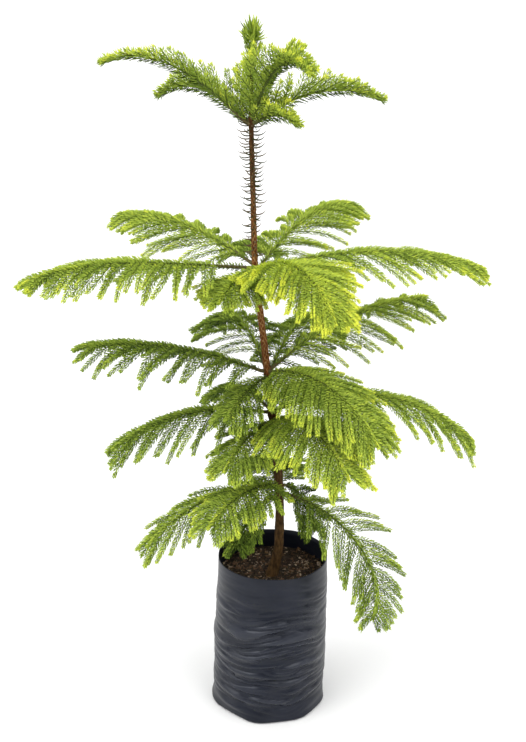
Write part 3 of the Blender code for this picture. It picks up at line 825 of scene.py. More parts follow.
@dataclass
class Trunk:
    """The trunk, from just below the bed of bark mix to the foot of the leader.

    Each point is x, y, z and the radius there.
    """

    points: tuple[tuple[float, float, float, float], ...] = (
        (0.006, -0.014, SOIL_LEVEL, 0.0108),
        (0.010, -0.014, 0.280, 0.0094),
        (0.018, -0.013, 0.316, 0.0084),
        (0.020, -0.013, 0.370, 0.0080),
        (0.019, -0.012, 0.440, 0.0078),
        (0.013, -0.011, 0.520, 0.0071),
        (0.006, -0.011, 0.582, 0.0067),
        (-0.002, -0.010, 0.661, 0.0062),
        (-0.012, -0.009, 0.750, 0.0057),
        (-0.023, -0.008, 0.849, 0.0052),
        (-0.026, -0.007, 0.960, 0.0045),
        (-0.029, -0.006, 1.094, 0.0038),
        (-0.028, -0.005, 1.178, 0.0023),
    )
    sides: int = 40
    ring_step: float = 0.0011
    buried: float = 0.008
    flare: float = 0.0034
    flare_height: float = 0.016
    root_ridges: int = 5
    ridge_wobble: float = 0.15
    ridge_wobbles: float = 9.0
    scale_starts: tuple[int, int] = (5, 8)
    scale_pitch: float = 0.0105
    scale_wander: float = 0.10
    scale_depth: float = 0.00075
    crack_depth: float = 0.0018
    collar: float = 0.0011
    collar_height: float = 0.007
    old_below: float = 0.62
    ageing: float = 0.25
    palest_at: float = 0.82
    pale_reach: float = 0.55
    curve_steps: int = 20
    noise_turn: float = 6.283
    wander_cells: tuple[float, float] = (1.0, 60.0)
    crack_cells: tuple[float, float] = (1.6, 75.0)
    fine_cracks: tuple[float, float, float] = (0.5, 2.3, 7.0)
    table: np.ndarray = field(init=False)

    def __post_init__(self) -> None:
        """Read the smooth curve through the points once, for all later questions."""
        knots = np.array(self.points)
        rows = []
        last = len(knots) - 1
        shares = np.linspace(0.0, 1.0, self.curve_steps, endpoint=False)[:, None]
        square = shares**2
        cube = shares**3
        for index in range(last):
            near = [knots[max(0, min(last, index + step))] for step in (-1, 0, 1, 2)]
            before, start, end, after = near
            slope_in = 0.5 * (end - before)
            slope_out = 0.5 * (after - start)
            rows.append(
                (2 * cube - 3 * square + 1) * start
                + (cube - 2 * square + shares) * slope_in
                + (3 * square - 2 * cube) * end
                + (cube - square) * slope_out
            )
        self.table = np.concatenate((*rows, knots[-1:]))

    def centre(self, height: np.ndarray | float) -> np.ndarray:
        """Find the trunk's centre at one height or several."""
        columns = [np.interp(height, self.table[:, 2], self.table[:, axis]) for axis in range(2)]
        return np.stack((*columns, np.asarray(height, float)), axis=-1)

    def radius(self, height: np.ndarray | float) -> np.ndarray:
        """Find the trunk's radius at one height or several."""
        return np.interp(height, self.table[:, 2], self.table[:, 3])

    def bark_places(self, up: np.ndarray, around: np.ndarray, reach: float, rate: float) -> np.ndarray:
        """Place the bark in noise cells: reach is how many lie outwards, rate how many a metre up."""
        angle = around * self.noise_turn
        return np.stack((np.cos(angle) * reach, np.sin(angle) * reach, up * rate), -1)

    def root_flare(self, up: np.ndarray, around: np.ndarray) -> np.ndarray:
        """Read how far the foot spreads where the roots start.

        Args:
            up: Heights.
            around: Turns round the trunk.

        Returns:
            What the radius gains.
        """
        above = np.maximum(0.0, up - SOIL_LEVEL)
        wobble = self.ridge_wobble * np.sin(self.ridge_wobbles * around)
        ridge = 0.5 + 0.5 * np.cos(FULL_TURN * (self.root_ridges * around + wobble))
        return self.flare * np.exp(-above / self.flare_height) * (0.25 + 0.75 * ridge)

    def build(self, finish: TrunkFinish) -> Object:
        """Make the trunk with the relief of its bark.

        Args:
            finish: The finish of the bark.

        Returns:
            The piece.
        """
        top = self.points[-1][2]
        heights = np.arange(SOIL_LEVEL - self.buried, top, self.ring_step)
        turn = np.arange(self.sides) / self.sides
        up, around = np.meshgrid(heights, turn, indexing="ij")
        centres = self.centre(heights)
        radii = np.repeat(self.radius(heights)[:, None], self.sides, axis=1)
        radii += self.root_flare(up, around)
        for tier in TIERS.values():
            radii += self.collar * np.exp(-(((up - tier.height) / self.collar_height) ** 2))
        age = np.clip((self.old_below - up) / self.ageing, 0.0, 1.0)
        wander = self.scale_wander * noise_at(self.bark_places(up, around, *self.wander_cells))
        scales = scale_pattern(around + wander, up, self.scale_starts, self.scale_pitch)
        radii += self.scale_depth * (1.0 - 0.6 * age) * (scales - 0.6)
        place = self.bark_places(up, around, *self.crack_cells)
        weight, rate, shift = self.fine_cracks
        rough = noise_at(place) + weight * noise_at(place * rate + shift)
        radii += self.crack_depth * (0.25 + 0.75 * age) * rough * 0.6
        points = tube_points(Path(centres), radii, self.sides, EAST)
        skin = Skin()
        skin.add(points, ring_faces(len(heights), self.sides))
        mesh = skin.mesh("trunk_bark", True)
        pale = np.clip(1.1 - np.abs(up - self.palest_at) / self.pale_reach, 0.0, 1.0)
        edge = (1.0 - scales) * (1.0 - 0.75 * age) * pale
        mark_points(mesh, "scale_edge", np.concatenate((edge.ravel(), (0.0, 0.0))))
        return add_piece(mesh, [finish.material()], ("trunk",))


@dataclass(frozen=True)
class NeedleStyle:
    """How needles stand on a stem.

    A flat below 1 combs them to the stem's two sides. The painted top light is how many steps of
    Tone those on top are lighter than those at the sides, and those underneath are as much darker:
    painted light and shade by the way each needle points. Scatter is the spread of their
    lengths, and tone_scatter that of their tones, in steps.
    """

    length: float
    width: float
    spacing: float
    lean: float
    lean_at_tip: float
    upsweep: float
    curl: float = 0.12
    flat: float = 0.55
    length_at_root: float = 0.85
    length_at_tip: float = 0.62
    scatter: float = 0.07
    painted_top_light: float = 0.9
    tone_scatter: float = 0.45


class NeedleCoat:
    """The needles of one piece, laid in spirals along its stems."""

    FACES = ((0, 2, 1), (3, 1, 2), (0, 1, 3), (0, 3, 2))
    WIDEST_AT = 0.46
    THICKNESS = 0.60
    FEWEST = 6
    PLACES = (0.35, 0.65)
    CROWDING = 0.9
    TURN_SCATTER = 0.15
    LEAN_SCATTER = 4.0
    ROOT_STRETCH = 0.15
    TIP_STRETCH = 0.45
    BUD_NEEDLES = 5
    BUD_SHARE = 0.50
    BUD_DEPTH = 0.0025
    BUD_LEANS = (5.0, 75.0)
    SHADED_BELOW = 0.15
    TIP_ONSET = 1.4
    CURL_UP = 0.4

    def __init__(self, name: str) -> None:
        """Start a coat.

        Args:
            name: Name of the piece, which also seeds its small differences.
        """
        self.name = name
        self.rule = seeded(name)
        self.skin = Skin()

    def clothe(
        self,
        path: Path,
        style: NeedleStyle,
        tone: float,
        tip_gain: float,
        radii: tuple[float, float],
        level: np.ndarray = UP,
    ) -> None:
        """Set needles along a stem, closer together towards its tip.

        Args:
            path: The stem's centre line.
            style: How its needles stand.
            tone: Tone of its needles, in steps of Tone.
            tip_gain: How many steps lighter its tip is.
            radii: Radius of the stem at its root and tip.
            level: The way that the flat side of its spray looks.
        """
        rule = self.rule
        spaced = max(self.FEWEST, round(path.length / style.spacing))
        share = ((np.arange(spaced) + rule.uniform(*self.PLACES, spaced)) / spaced) ** self.CROWDING
        buds = 1.0 - rule.uniform(0.0, self.BUD_DEPTH / path.length, self.BUD_NEEDLES)
        share = np.concatenate((share, buds))
        count = len(share)
        budding = np.arange(count) >= spaced
        turn = np.arange(count) * GOLDEN_ANGLE + rule.normal(0.0, self.TURN_SCATTER, count)
        turn = turn + rule.uniform(0.0, 6.28)
        centre = path.at(share)
        ahead = path.ahead(share)
        across = unit(np.cross(ahead, level + 0.02 * EAST))
        over = np.cross(across, ahead)
        out = unit(across * np.cos(turn)[:, None] + over * (style.flat * np.sin(turn))[:, None])
        late = share**3
        lean = blend_values(style.lean, style.lean_at_tip, late)
        lean = lean + rule.normal(0.0, self.LEAN_SCATTER, count)
        lean = np.radians(np.where(budding, rule.uniform(*self.BUD_LEANS, count), lean))
        way = ahead * np.cos(lean)[:, None] + out * np.sin(lean)[:, None]
        way = unit(way + UP * style.upsweep * (1.0 - 0.5 * late)[:, None])
        early = np.clip(share / self.ROOT_STRETCH, 0.0, 1.0)
        size = style.length * blend_values(style.length_at_root, 1.0, early)
        size = size * blend_values(1.0, style.length_at_tip, late)
        size = size * (1.0 + rule.normal(0.0, style.scatter, count))
        size = np.where(budding, style.length * self.BUD_SHARE, size)
        root = centre + out * (blend_values(radii[0], radii[1], share) * 0.5)[:, None]
        at_tip = np.clip((share - (1.0 - self.TIP_STRETCH)) / self.TIP_STRETCH, 0.0, 1.0)
        # Painted light and shade: needles that point up get lighter tones, those that point down darker ones.
        gain = tip_gain * at_tip**self.TIP_ONSET + style.painted_top_light * (out[:, 2] - self.SHADED_BELOW)
        kind = np.rint(tone + gain + rule.normal(0.0, style.tone_scatter, count))
        kind = np.clip(kind, 0, len(Tone) - 1)
        self._lay(root, way, ahead + self.CURL_UP * UP, size, style, kind.astype(int))

    def _lay(
        self,
        root: np.ndarray,
        way: np.ndarray,
        towards: np.ndarray,
        size: np.ndarray,
        style: NeedleStyle,
        kind: np.ndarray,
    ) -> None:
        """Make each needle a curved three-sided awl of four faces, with its keel inwards.

        Args:
            root: Where each needle starts.
            way: The way each one sets off.
            towards: The way each one curves.
            size: Length of each one.
            style: How they stand.
            kind: Material number of each one.
        """
        bend = unit(towards - way * np.sum(towards * way, axis=1, keepdims=True))
        tip = root + way * (size * 0.97)[:, None] + bend * (size * style.curl)[:, None]
        chord = unit(tip - root)
        outer = -unit(bend - chord * np.sum(bend * chord, axis=1, keepdims=True))
        side = np.cross(outer, chord) * (0.5 * style.width)
        middle = root + (tip - root) * self.WIDEST_AT + outer * (style.width * self.THICKNESS)
        points = np.stack((root, middle + side, middle - side, tip), axis=1).reshape(-1, 3)
        faces = (np.arange(len(root)) * 4)[:, None, None] + np.array(self.FACES)[None]
        self.skin.add(points, faces.reshape(-1, 3), np.repeat(kind, len(self.FACES)))

    def build(self, palette: list[Material], slot: str, nodes: tuple[str, ...]) -> Object:
        """Join the needles into one piece, with a material for each tone."""
        return add_piece(self.skin.mesh(self.name, False), palette, nodes)


@dataclass
class BoughGrowth:
    """A bough with its limb, twigs and needles, grown by the rule of the solids."""

    bough: Bough
    trunk: Trunk
    steps: int = 24
    seat: float = 0.0003
    seat_length: float = 0.004
    sunk: float = 0.0030
    thinnest_root: float = 0.0022
    thickest_root: float = 0.0036
    radius_per_length: float = 0.0022
    tip_radius: float = 0.0010
    tip_twig_share: float = 0.38
    tip_twig_reach: float = 0.8
    fewest_twigs: int = 16
    fewest_tip_twigs: int = 4
    twig_steps: int = 6
    twig_sides: int = 4
    twig_radii: tuple[float, float] = (0.00100, 0.00062)
    first_twig: float = 0.70
    longest_at: float = 0.30
    crowding: float = 0.85
    sweep: float = 0.22
    sweep_jitter: float = 0.36
    spread_jitter: float = 7.0
    length_jitter: float = 0.10
    hang_jitter: float = 0.15
    lift_jitter: float = 0.16
    tone_jitter: float = 0.35
    limb_sides: int = 8
    limb_ring_step: float = 0.0028
    limb_collar: float = 0.35
    limb_collar_length: float = 0.006
    limb_relief: float = 0.16
    limb_scales: tuple[int, int] = (3, 5)
    limb_scale_pitch: float = 0.0080
    greenest: float = 0.85
    needle_spacing: float = 0.00082
    limb_needle_share: float = 0.74
    twig_tip_lean: float = 38.0
    greening: float = 0.05
    green_at_bare: float = 0.3
    coat_radius_at: float = 0.3
    young_limb_drop: float = 0.3
    bare_from: float = 0.03
    bare_steps: int = 8
    old_and_shaded_drop: float = 1.2
    old_tip_gain: float = 0.8

    def line(self) -> Path:
        """Run the bough from the trunk's skin to its tip.

        Returns:
            Its centre line.
        """
        bough = self.bough
        out = level_way(math.radians(bough.azimuth))
        height = TIERS[bough.tier].height + bough.lift
        start = self.trunk.centre(height) + out * (float(self.trunk.radius(height)) + self.seat)
        share = (np.arange(self.steps) + 0.5) / self.steps
        pitch = np.radians(bough.rise + (bough.fall - bough.rise) * share**bough.bend)
        step = (bough.length - self.seat_length) / self.steps
        runs = pitched(out, pitch) * step
        seat_end = start + out * self.seat_length
        return Path(np.concatenate((start[None], seat_end[None], seat_end + np.cumsum(runs, axis=0))))

    def radius(self, share: np.ndarray) -> np.ndarray:
        """Find the wood's radius at shares of the bough's length."""
        root = min(self.thickest_root, self.thinnest_root + self.radius_per_length * self.bough.length)
        return root + (self.tip_radius - root) * share

    def twig_length(self, share: float) -> float:
        """Find the length of a twig, longest near the first third of the foliage.

        Args:
            share: Share of the foliage.

        Returns:
            The length.
        """
        grow = min(1.0, self.first_twig + share)
        beyond = max(0.0, share - self.longest_at) / (1.0 - self.longest_at)
        return self.bough.twig * grow * (1.0 - TIERS[self.bough.tier].fade * beyond)

    def twig_heading(self, ahead: np.ndarray, side: int, share: float, spread: float) -> np.ndarray:
        """Find the way a twig leaves its bough.

        Args:
            ahead: The bough's own direction there.
            side: 1 or -1 for the side it grows on.
            share: Share of the foliage.
            spread: Its angle from the bough, in degrees.

        Returns:
            A unit vector.
        """
        level = unit(np.cross(ahead, UP))
        above = np.cross(level, ahead)
        roll = math.radians(self.bough.roll * math.sqrt(share))
        across = (level * math.cos(roll) + above * math.sin(roll)) * side
        over = above * math.cos(roll) - level * math.sin(roll)
        angle = math.radians(spread)
        lift = TIERS[self.bough.tier].lift * (1.0 - 0.5 * share)
        return unit(ahead * math.cos(angle) + across * math.sin(angle) + over * lift)

    def twig_path(
        self, start: np.ndarray, heading: np.ndarray, length: float, turn: np.ndarray
    ) -> Path:
        """Run a twig that sets off on its heading and turns along its length.

        Args:
            start: Where it leaves the bough.
            heading: The way it sets off.
            length: Its length.
            turn: What is added to its heading by its tip: how it hangs and sweeps forward.

        Returns:
            Its centre line.
        """
        share = (np.arange(self.twig_steps) + 0.5) / self.twig_steps
        runs = unit(heading + share[:, None] * turn) * (length / self.twig_steps)
        return Path.run(start, runs)

    def twigs(self, line: Path) -> list[tuple[Path, np.ndarray]]:
        """Grow the twigs on both sides of the bough.

        Args:
            line: The bough's centre line.

        Returns:
            The centre line of each twig, and the way that the top of its spray looks.
        """
        bough = self.bough
        tier = TIERS[bough.tier]
        rule = random.Random("araucaria foliage" + bough.name)
        start = bough.bare / bough.length
        end = 1.0 - bough.twig * self.tip_twig_share / bough.length
        spacing = tier.gap / bough.dense
        count = max(self.fewest_twigs, round((end - start) * bough.length / spacing))
        beyond = (1.0 - end) * bough.length * self.tip_twig_reach
        extra = max(self.fewest_tip_twigs, round(beyond / spacing))
        twigs = []
        for index in range(count + extra):
            share = (index + 0.6) / count
            side = 1 if index % 2 else -1
            spread = bough.wide * blend_values(*tier.spread, min(1.0, share))
            spread += rule.uniform(-self.spread_jitter, self.spread_jitter)
            place = np.array([start + (end - start) * share**self.crowding])
            ahead = line.ahead(place)[0]
            heading = self.twig_heading(ahead, side, min(1.0, share), spread)
            heading = unit(heading + UP * rule.uniform(-self.lift_jitter, self.lift_jitter))
            length = self.twig_length(min(1.0, share))
            left = max(0.0, float(1.0 - place[0])) * bough.length + tier.blunt
            length = min(length, left) if share > 1.0 else length
            length *= 1.0 + rule.uniform(-self.length_jitter, self.length_jitter)
            hang = bough.limp * tier.hang * (1.0 + rule.uniform(-self.hang_jitter, self.hang_jitter))
            sweep = self.sweep + rule.uniform(-self.sweep_jitter, self.sweep_jitter)
            path = self.twig_path(line.at(place)[0], heading, length, ahead * sweep - UP * hang)
            twigs.append((path, unit(np.cross(heading, ahead) * side)))
        return twigs

    def limb(self, line: Path, finish: Material) -> Object:
        """Make the limb from inside the trunk's skin to the bough's tip.

        Args:
            line: The bough's centre line.
            finish: Its bark.

        Returns:
            The piece.
        """
        bough = self.bough
        count = round(bough.length / self.limb_ring_step)
        share = np.linspace(0.0, 1.0, count)
        root = line.points[0] - line.headings[0] * self.sunk
        path = Path(np.concatenate((root[None], line.at(share))))
        share = np.concatenate(([0.0], share))
        turns = np.arange(self.limb_sides) / self.limb_sides
        up, around = np.meshgrid(share * bough.length, turns, indexing="ij")
        scales = scale_pattern(around, up, self.limb_scales, self.limb_scale_pitch)
        collar = 1.0 + self.limb_collar * np.exp(-share * bough.length / self.limb_collar_length)
        radii = (self.radius(share) * collar)[:, None] * (1.0 + self.limb_relief * (scales - 0.6))
        skin = Skin()
        skin.add(tube_points(path, radii, self.limb_sides), ring_faces(len(share), self.limb_sides))
        mesh = skin.mesh(bough.name + "_limb", True)
        young = (share * bough.length - bough.bare) / self.greening + self.green_at_bare
        young = np.clip(young, 0.0, self.greenest)
        young = np.concatenate((np.repeat(young, self.limb_sides), (0.0, self.greenest)))
        mark_points(mesh, "young", young)
        wood = bough.name + "_bough"
        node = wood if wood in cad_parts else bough.name + "_foliage"
        return add_piece(mesh, [finish], (node,))

    def twig_style(self) -> NeedleStyle:
        """Choose how needles stand on the twigs: looser and more mixed in tone on tier 1.

        Returns:
            The style.
        """
        tier = TIERS[self.bough.tier]
        young = self.bough.tier == 1
        return NeedleStyle(
            tier.needle,
            tier.width,
            self.needle_spacing * (1.4 if young else 1.0),
            tier.lean,
            self.twig_tip_lean,
            tier.upsweep,
            flat=0.60,
            tone_scatter=0.8 if young else 0.6,
        )

    def limb_style(self) -> NeedleStyle:
        """Choose how needles stand on the leafy limb: long and steep on tier 1.

        Returns:
            The style.
        """
        tier = TIERS[self.bough.tier]
        young = self.bough.tier == 1
        return NeedleStyle(
            tier.needle * (1.45 if young else 1.10),
            tier.width,
            self.needle_spacing * self.limb_needle_share,
            lean=68.0 if young else tier.lean,
            lean_at_tip=24.0,
            upsweep=0.10,
            curl=0.22 if young else 0.12,
            flat=1.0,
            painted_top_light=2.2 if young else 0.9,
            tone_scatter=0.8 if young else 0.6,
        )

    def build(self, bark: Material, green: Material, palette: list[Material]) -> None:
        """Make the limb, the twigs and the needles.

        Args:
            bark: Finish of the limb.
            green: Finish of the twigs.
            palette: A needle material for each tone.
        """
        bough = self.bough
        tier = TIERS[bough.tier]
        foliage = bough.name + "_foliage"
        line = self.line()
        self.limb(line, bark)
        stems = Skin()
        coat = NeedleCoat(bough.name + "_needles")
        style = self.twig_style()
        faces = ring_faces(self.twig_steps + 1, self.twig_sides)
        radii = np.linspace(*self.twig_radii, self.twig_steps + 1)
        for path, level in self.twigs(line):
            stems.add(tube_points(path, radii, self.twig_sides), faces)
            tone = bough.tone + coat.rule.normal(0.0, self.tone_jitter)
            coat.clothe(path, style, tone, bough.tip_gain, self.twig_radii, level)
        add_piece(stems.mesh(bough.name + "_twigs", True), [green], (foliage,))
        leafy = line.cut(bough.bare / bough.length, 1.0, self.steps)
        thick = float(self.radius(np.array(self.coat_radius_at)))
        tone = bough.tone - (self.young_limb_drop if bough.tier == 1 else 0.0)
        coat.clothe(leafy, self.limb_style(), tone, bough.tip_gain, (thick, self.tip_radius))
        if bough.bare:
            bare = line.cut(self.bare_from, bough.bare / bough.length, self.bare_steps)
            old = NeedleStyle(
                tier.needle,
                tier.width,
                self.needle_spacing,
                lean=66.0,
                lean_at_tip=58.0,
                upsweep=0.3,
                curl=0.22,
                flat=1.0,
            )
            # The bare stretch near the trunk gets darker tones: partly older needles, partly painted shade.
            tone = bough.tone - self.old_and_shaded_drop
            coat.clothe(bare, old, tone, self.old_tip_gain, (thick, thick))
        coat.build(palette, tier.slot, (foliage,))


@dataclass
class Leader:
    """The tuft at the top of the trunk, and the green stem that carries it."""

    trunk: Trunk
    length: float = 0.066
    twigs: int = 7
    first_twig: float = 0.15
    twig_span: float = 0.60
    twig_fade: float = 0.30
    twig_length: float = 0.034
    twig_pitch: float = 62.0
    hang: float = -0.3
    needle: float = 0.0165
    twig_needle: float = 0.0140
    width: float = 0.0021
    spacing: float = 0.00058
    needles_from: float = 1.098
    stem_radii: tuple[float, float] = (0.0023, 0.0010)
    stem_points: int = 12
    stem_sides: int = 8
    twig_radii: tuple[float, float] = (0.0009, 0.0006)
    twig_steps: int = 6
    twig_sides: int = 4
    crown_from: float = 0.70
    crown_step: float = 0.045
    crown_band: float = 0.04
    crown_needle: float = 0.0310
    crown_width: float = 0.0034
    crown_count: int = 14
    crown_leans: tuple[float, ...] = (64.0, 52.0, 40.0, 26.0, 10.0)

    def build(self, green: Material, palette: list[Material]) -> None:
        """Make the stem, its upright twigs and their needles.

        Args:
            green: Finish of the stems.
            palette: A needle material for each tone.
        """
        foot_height = self.trunk.points[-1][2]
        below, foot = self.trunk.centre(np.array((foot_height - 0.04, foot_height)))
        ahead = unit(foot - below)
        main = Path(foot + ahead * np.linspace(-0.002, self.length, self.stem_points)[:, None])
        radii = np.linspace(*self.stem_radii, self.stem_points)
        stems = Skin()
        stems.add(
            tube_points(main, radii, self.stem_sides, EAST), ring_faces(self.stem_points, self.stem_sides)
        )
        coat = NeedleCoat("leader_needles")
        brush = NeedleStyle(
            self.needle,
            self.width,
            self.spacing,
            lean=30.0,
            lean_at_tip=20.0,
            upsweep=0.3,
            flat=1.0,
            length_at_tip=0.8,
        )
        crown_ends = self.crown_from + self.crown_band
        lower = main.cut(0.0, crown_ends, 10)
        coat.clothe(lower, brush, tone=1.2, tip_gain=0.8, radii=self.stem_radii)
        for step, lean in enumerate(self.crown_leans):
            rise = self.crown_step * step
            place = main.cut(self.crown_from + rise, crown_ends + rise, 3)
            spray = NeedleStyle(
                self.crown_needle,
                self.crown_width,
                place.length / self.crown_count,
                lean=lean,
                lean_at_tip=lean - 10.0,
                upsweep=0.0,
                curl=-0.05,
                flat=1.0,
                length_at_root=1.0,
                length_at_tip=1.0,
                tone_scatter=0.9,
            )
            coat.clothe(place, spray, tone=3.4, tip_gain=0.9, radii=(0.0012, 0.0010))
        upright = NeedleStyle(
            self.twig_needle,
            self.width,
            spacing=0.00085,
            lean=48.0,
            lean_at_tip=18.0,
            upsweep=0.4,
            length_at_tip=0.9,
        )
        steps = self.twig_steps
        share = (np.arange(steps) + 0.5) / steps
        radii = np.linspace(*self.twig_radii, steps + 1)
        faces = ring_faces(steps + 1, self.twig_sides)
        pitch = math.radians(self.twig_pitch)
        for index in range(self.twigs):
            place = self.first_twig + self.twig_span * index / self.twigs
            turn = GOLDEN_ANGLE * index
            out = level_way(turn)
            heading = out * math.cos(pitch) + UP * math.sin(pitch)
            length = self.twig_length * (1.0 - self.twig_fade * place)
            root = foot + ahead * self.length * place
            runs = unit(heading - UP * (self.hang * share)[:, None]) * (length / steps)
            path = Path.run(root, runs)
            stems.add(tube_points(path, radii, self.twig_sides, EAST), faces)
            coat.clothe(path, upright, tone=2.6, tip_gain=1.8, radii=self.twig_radii)
        below_tuft = np.linspace(self.needles_from, foot_height, 12)
        stem = Path(self.trunk.centre(below_tuft))
        loose = NeedleStyle(
            length=0.0150,
            width=0.0018,
            spacing=0.00090,
            lean=60.0,
            lean_at_tip=50.0,
            upsweep=0.20,
            flat=1.0,
            length_at_tip=1.0,
        )
        coat.clothe(stem, loose, tone=2.0, tip_gain=0.8, radii=(0.0036, 0.0024))
        add_piece(stems.mesh("leader_stems", True), [green], ("leader_foliage",))
        coat.build(palette, "young_foliage", ("leader_foliage",))


@dataclass
class DryNeedles:
    """Old curved needles that stay on the bare trunk between the two top tiers."""

    trunk: Trunk
    start: float = 0.872
    end: float = 1.100
    spacing: float = 0.00165
    length: float = 0.0230
    radius: float = 0.00115
    sides: int = 3
    droop: float = -14.0
    rise: float = 66.0
    thickness: tuple[float, ...] = (1.1, 1.25, 1.15, 0.95, 0.65, 0.25)
    kept_below: float = 0.72
    kept_more_above: float = 0.28
    green_below: float = 0.15
    greener_above: float = 0.6
    turn_scatter: float = 0.2
    droop_scatter: float = 7.0
    length_scatter: float = 0.10
    sunk_to: float = 0.7
    more_rise_above: float = 10.0
    late_rise: float = 1.6

    def build(self, fresh: Material, dry: Material) -> Object:
        """Make the needles, each a thin curved spine that turns up at its end.

        Args:
            fresh: Finish of those that are still green.
            dry: Finish of the brown ones.

        Returns:
            The piece.
        """
        rule = seeded("dry needles")
        skin = Skin()
        radii = self.radius * np.array(self.thickness)
        steps = len(radii) - 1
        faces = ring_faces(len(radii), self.sides)
        along = (np.arange(steps) + 0.5) / steps
        for index in range(round((self.end - self.start) / self.spacing)):
            height = self.start + index * self.spacing
            share = (height - self.start) / (self.end - self.start)
            if rule.uniform() > self.kept_below + self.kept_more_above * share:
                continue
            turn = index * GOLDEN_ANGLE + rule.normal(0.0, self.turn_scatter)
            out = level_way(turn)
            root = self.trunk.centre(height) + out * float(self.trunk.radius(height)) * self.sunk_to
            droop = self.droop + rule.normal(0.0, self.droop_scatter)
            rise = self.rise + self.more_rise_above * share
            pitch = np.radians(droop + rise * along**self.late_rise)
            size = self.length * (0.8 + 0.2 * share) * (1.0 + rule.normal(0.0, self.length_scatter))
            runs = pitched(out, pitch) * (size / steps)
            path = Path.run(root, runs)
            aside = np.array((-out[1], out[0], 0.0)) + 0.3 * UP
            kind = 0 if rule.uniform() < self.green_below + self.greener_above * share else 1
            skin.add(tube_points(path, radii, self.sides, aside), faces, kind)
        return add_piece(skin.mesh("trunk_old_needles", True), [fresh, dry])


# The bag and what fills it


@dataclass
class GrowBag:
    """The poly sleeve: satin film in level folds, with its corners tucked under.

    Each of the folds has its cells round the bag, its pitch in height, its weight and the
    shift of its noise. The profile has heights and radii, from the floor up, and each rim
    wave its height, its count round the rim and its turn.
    """

    FOLDS = ((0.8, 0.0230, 0.42, 0.0), (1.0, 0.0115, 0.48, 9.0), (2.2, 0.0070, 0.10, 21.0))
    ROUNDING = (-9.0, -6.0, -3.0, 0.0, 3.0, 6.0, 9.0)
    UNDERSIDE = (0.35, 0.75, 0.93)
    RIM_WAVES = ((0.0012, 3.0, 0.6), (0.0006, 7.0, 0.0))

    height: float = BAG_HEIGHT
    wall: float = 0.0014
    columns: int = 216
    rows: int = 144
    foot_rows: int = 10
    foot_height: float = 0.012
    inside_stride: int = 6
    inside_foot: float = 0.6
    rim_crown: float = 0.0004
    wave_from: float = 0.22
    profile: tuple[tuple[float, float], ...] = (
        (0.000, 0.1005),
        (0.0025, 0.1052),
        (0.005, 0.1064),
        (0.014, 0.1048),
        (0.030, 0.1042),
        (0.060, 0.1048),
        (0.150, 0.1046),
        (0.263, 0.1008),
        (0.300, 0.1000),
    )
    corner_radius: float = 0.1085
    corner_turns: tuple[float, ...] = (-162.0, -104.0, -55.0, -13.0, 42.0, 92.0, 136.0, 171.0)
    corner_share: float = 0.80
    corner_height: float = 0.014
    corner_lift: float = 0.0040
    fold_depth: float = 0.0092
    fold_middle: float = 0.55
    fold_sag: float = 0.016
    sag_cells: tuple[float, float, float] = (1.3, 5.0, 3.0)
    swell_cells: tuple[float, float] = (1.3, 17.0)
    crease_edge: float = 2.2
    pillow_roundness: float = 0.85
    calm_below: float = 0.006
    calm_foot: float = 0.030
    calm_rim: float = 0.05
    slack_below: float = 0.250
    side_calm: float = 0.72
    swell_depth: float = 0.0018
    seam_turn: float = 276.0
    seam_width: float = 0.9
    seam_depth: float = 0.0006

    def base_outline(self, turn: np.ndarray) -> np.ndarray:
        """Find the radius of the folded base, whose sides run straight from corner to corner.

        Args:
            turn: Angles in radians.

        Returns:
            The radius at each.
        """
        corners = np.radians(np.array(self.corner_turns))
        after = np.roll(corners, -1)
        after[-1] += FULL_TURN
        outline = np.full_like(turn, self.corner_radius)
        for start, end in zip(corners, after):
            wrapped = start + np.mod(turn - start, FULL_TURN)
            half = 0.5 * (end - start)
            chord = self.corner_radius * math.cos(half) / np.cos(wrapped - start - half)
            outline = np.where(wrapped < end, chord, outline)
        return outline

    def folds(self, turn: np.ndarray, height: np.ndarray) -> np.ndarray:
        """Read the level folds of the film: rounded pillows with sharp creases between.

        Args:
            turn: Angles in radians.
            height: Heights above the floor.

        Returns:
            0 in the creases, up to about 1 on the pillows.
        """
        x, y = np.cos(turn), np.sin(turn)
        cells, rate, rise = self.sag_cells
        sag = noise_at(np.stack((x * cells, y * cells, height * rate + rise), -1))
        level = height + self.fold_sag * sag
        total = np.zeros_like(height)
        for reach, pitch, weight, shift in self.FOLDS:
            value = noise_at(np.stack((x * reach + shift, y * reach, level / pitch), -1))
            pillow = np.minimum(1.0, np.abs(value) * self.crease_edge)
            total += weight * pillow**self.pillow_roundness
        return total

    def outside(self, turn: np.ndarray, height: np.ndarray) -> tuple[np.ndarray, np.ndarray]:
        """Find the radius of the film's outside.

        Args:
            turn: Angles in radians.
            height: Heights above the floor.

        Returns:
            The radius at each, and how far each stands up on a fold.
        """
        levels, radii = zip(*self.profile)
        base = np.interp(height, levels, radii)
        outlines = [self.base_outline(turn + math.radians(step)) for step in self.ROUNDING]
        outline = sum(outlines) / len(self.ROUNDING)
        corner = (outline - self.corner_radius + self.corner_lift) * self.corner_share
        base = base + corner * np.exp(-((height / self.corner_height) ** 2))
        reach, rate = self.swell_cells
        swell = noise_at(np.stack((np.cos(turn) * reach, np.sin(turn) * reach, height * rate), -1))
        above_foot = np.clip((height - self.calm_below) / self.calm_foot, 0.0, 1.0)
        below_rim = np.clip((self.height - height) / self.calm_rim, 0.0, 1.0)
        middle = above_foot * below_rim
        lower = np.clip((self.slack_below - height) / self.calm_rim, 0.0, 1.0)
        slack = 0.55 + 0.45 * lower
        envelope = middle * slack * (1.0 - self.side_calm * np.cos(turn) ** 4)
        fold = self.folds(turn, height)
        seam = np.exp(-(((np.degrees(turn) - self.seam_turn) / self.seam_width) ** 2)) * middle
        raised = self.fold_depth * envelope * (fold - self.fold_middle)
        outer = base + self.swell_depth * swell * middle + raised
        return outer + self.seam_depth * seam, fold * envelope

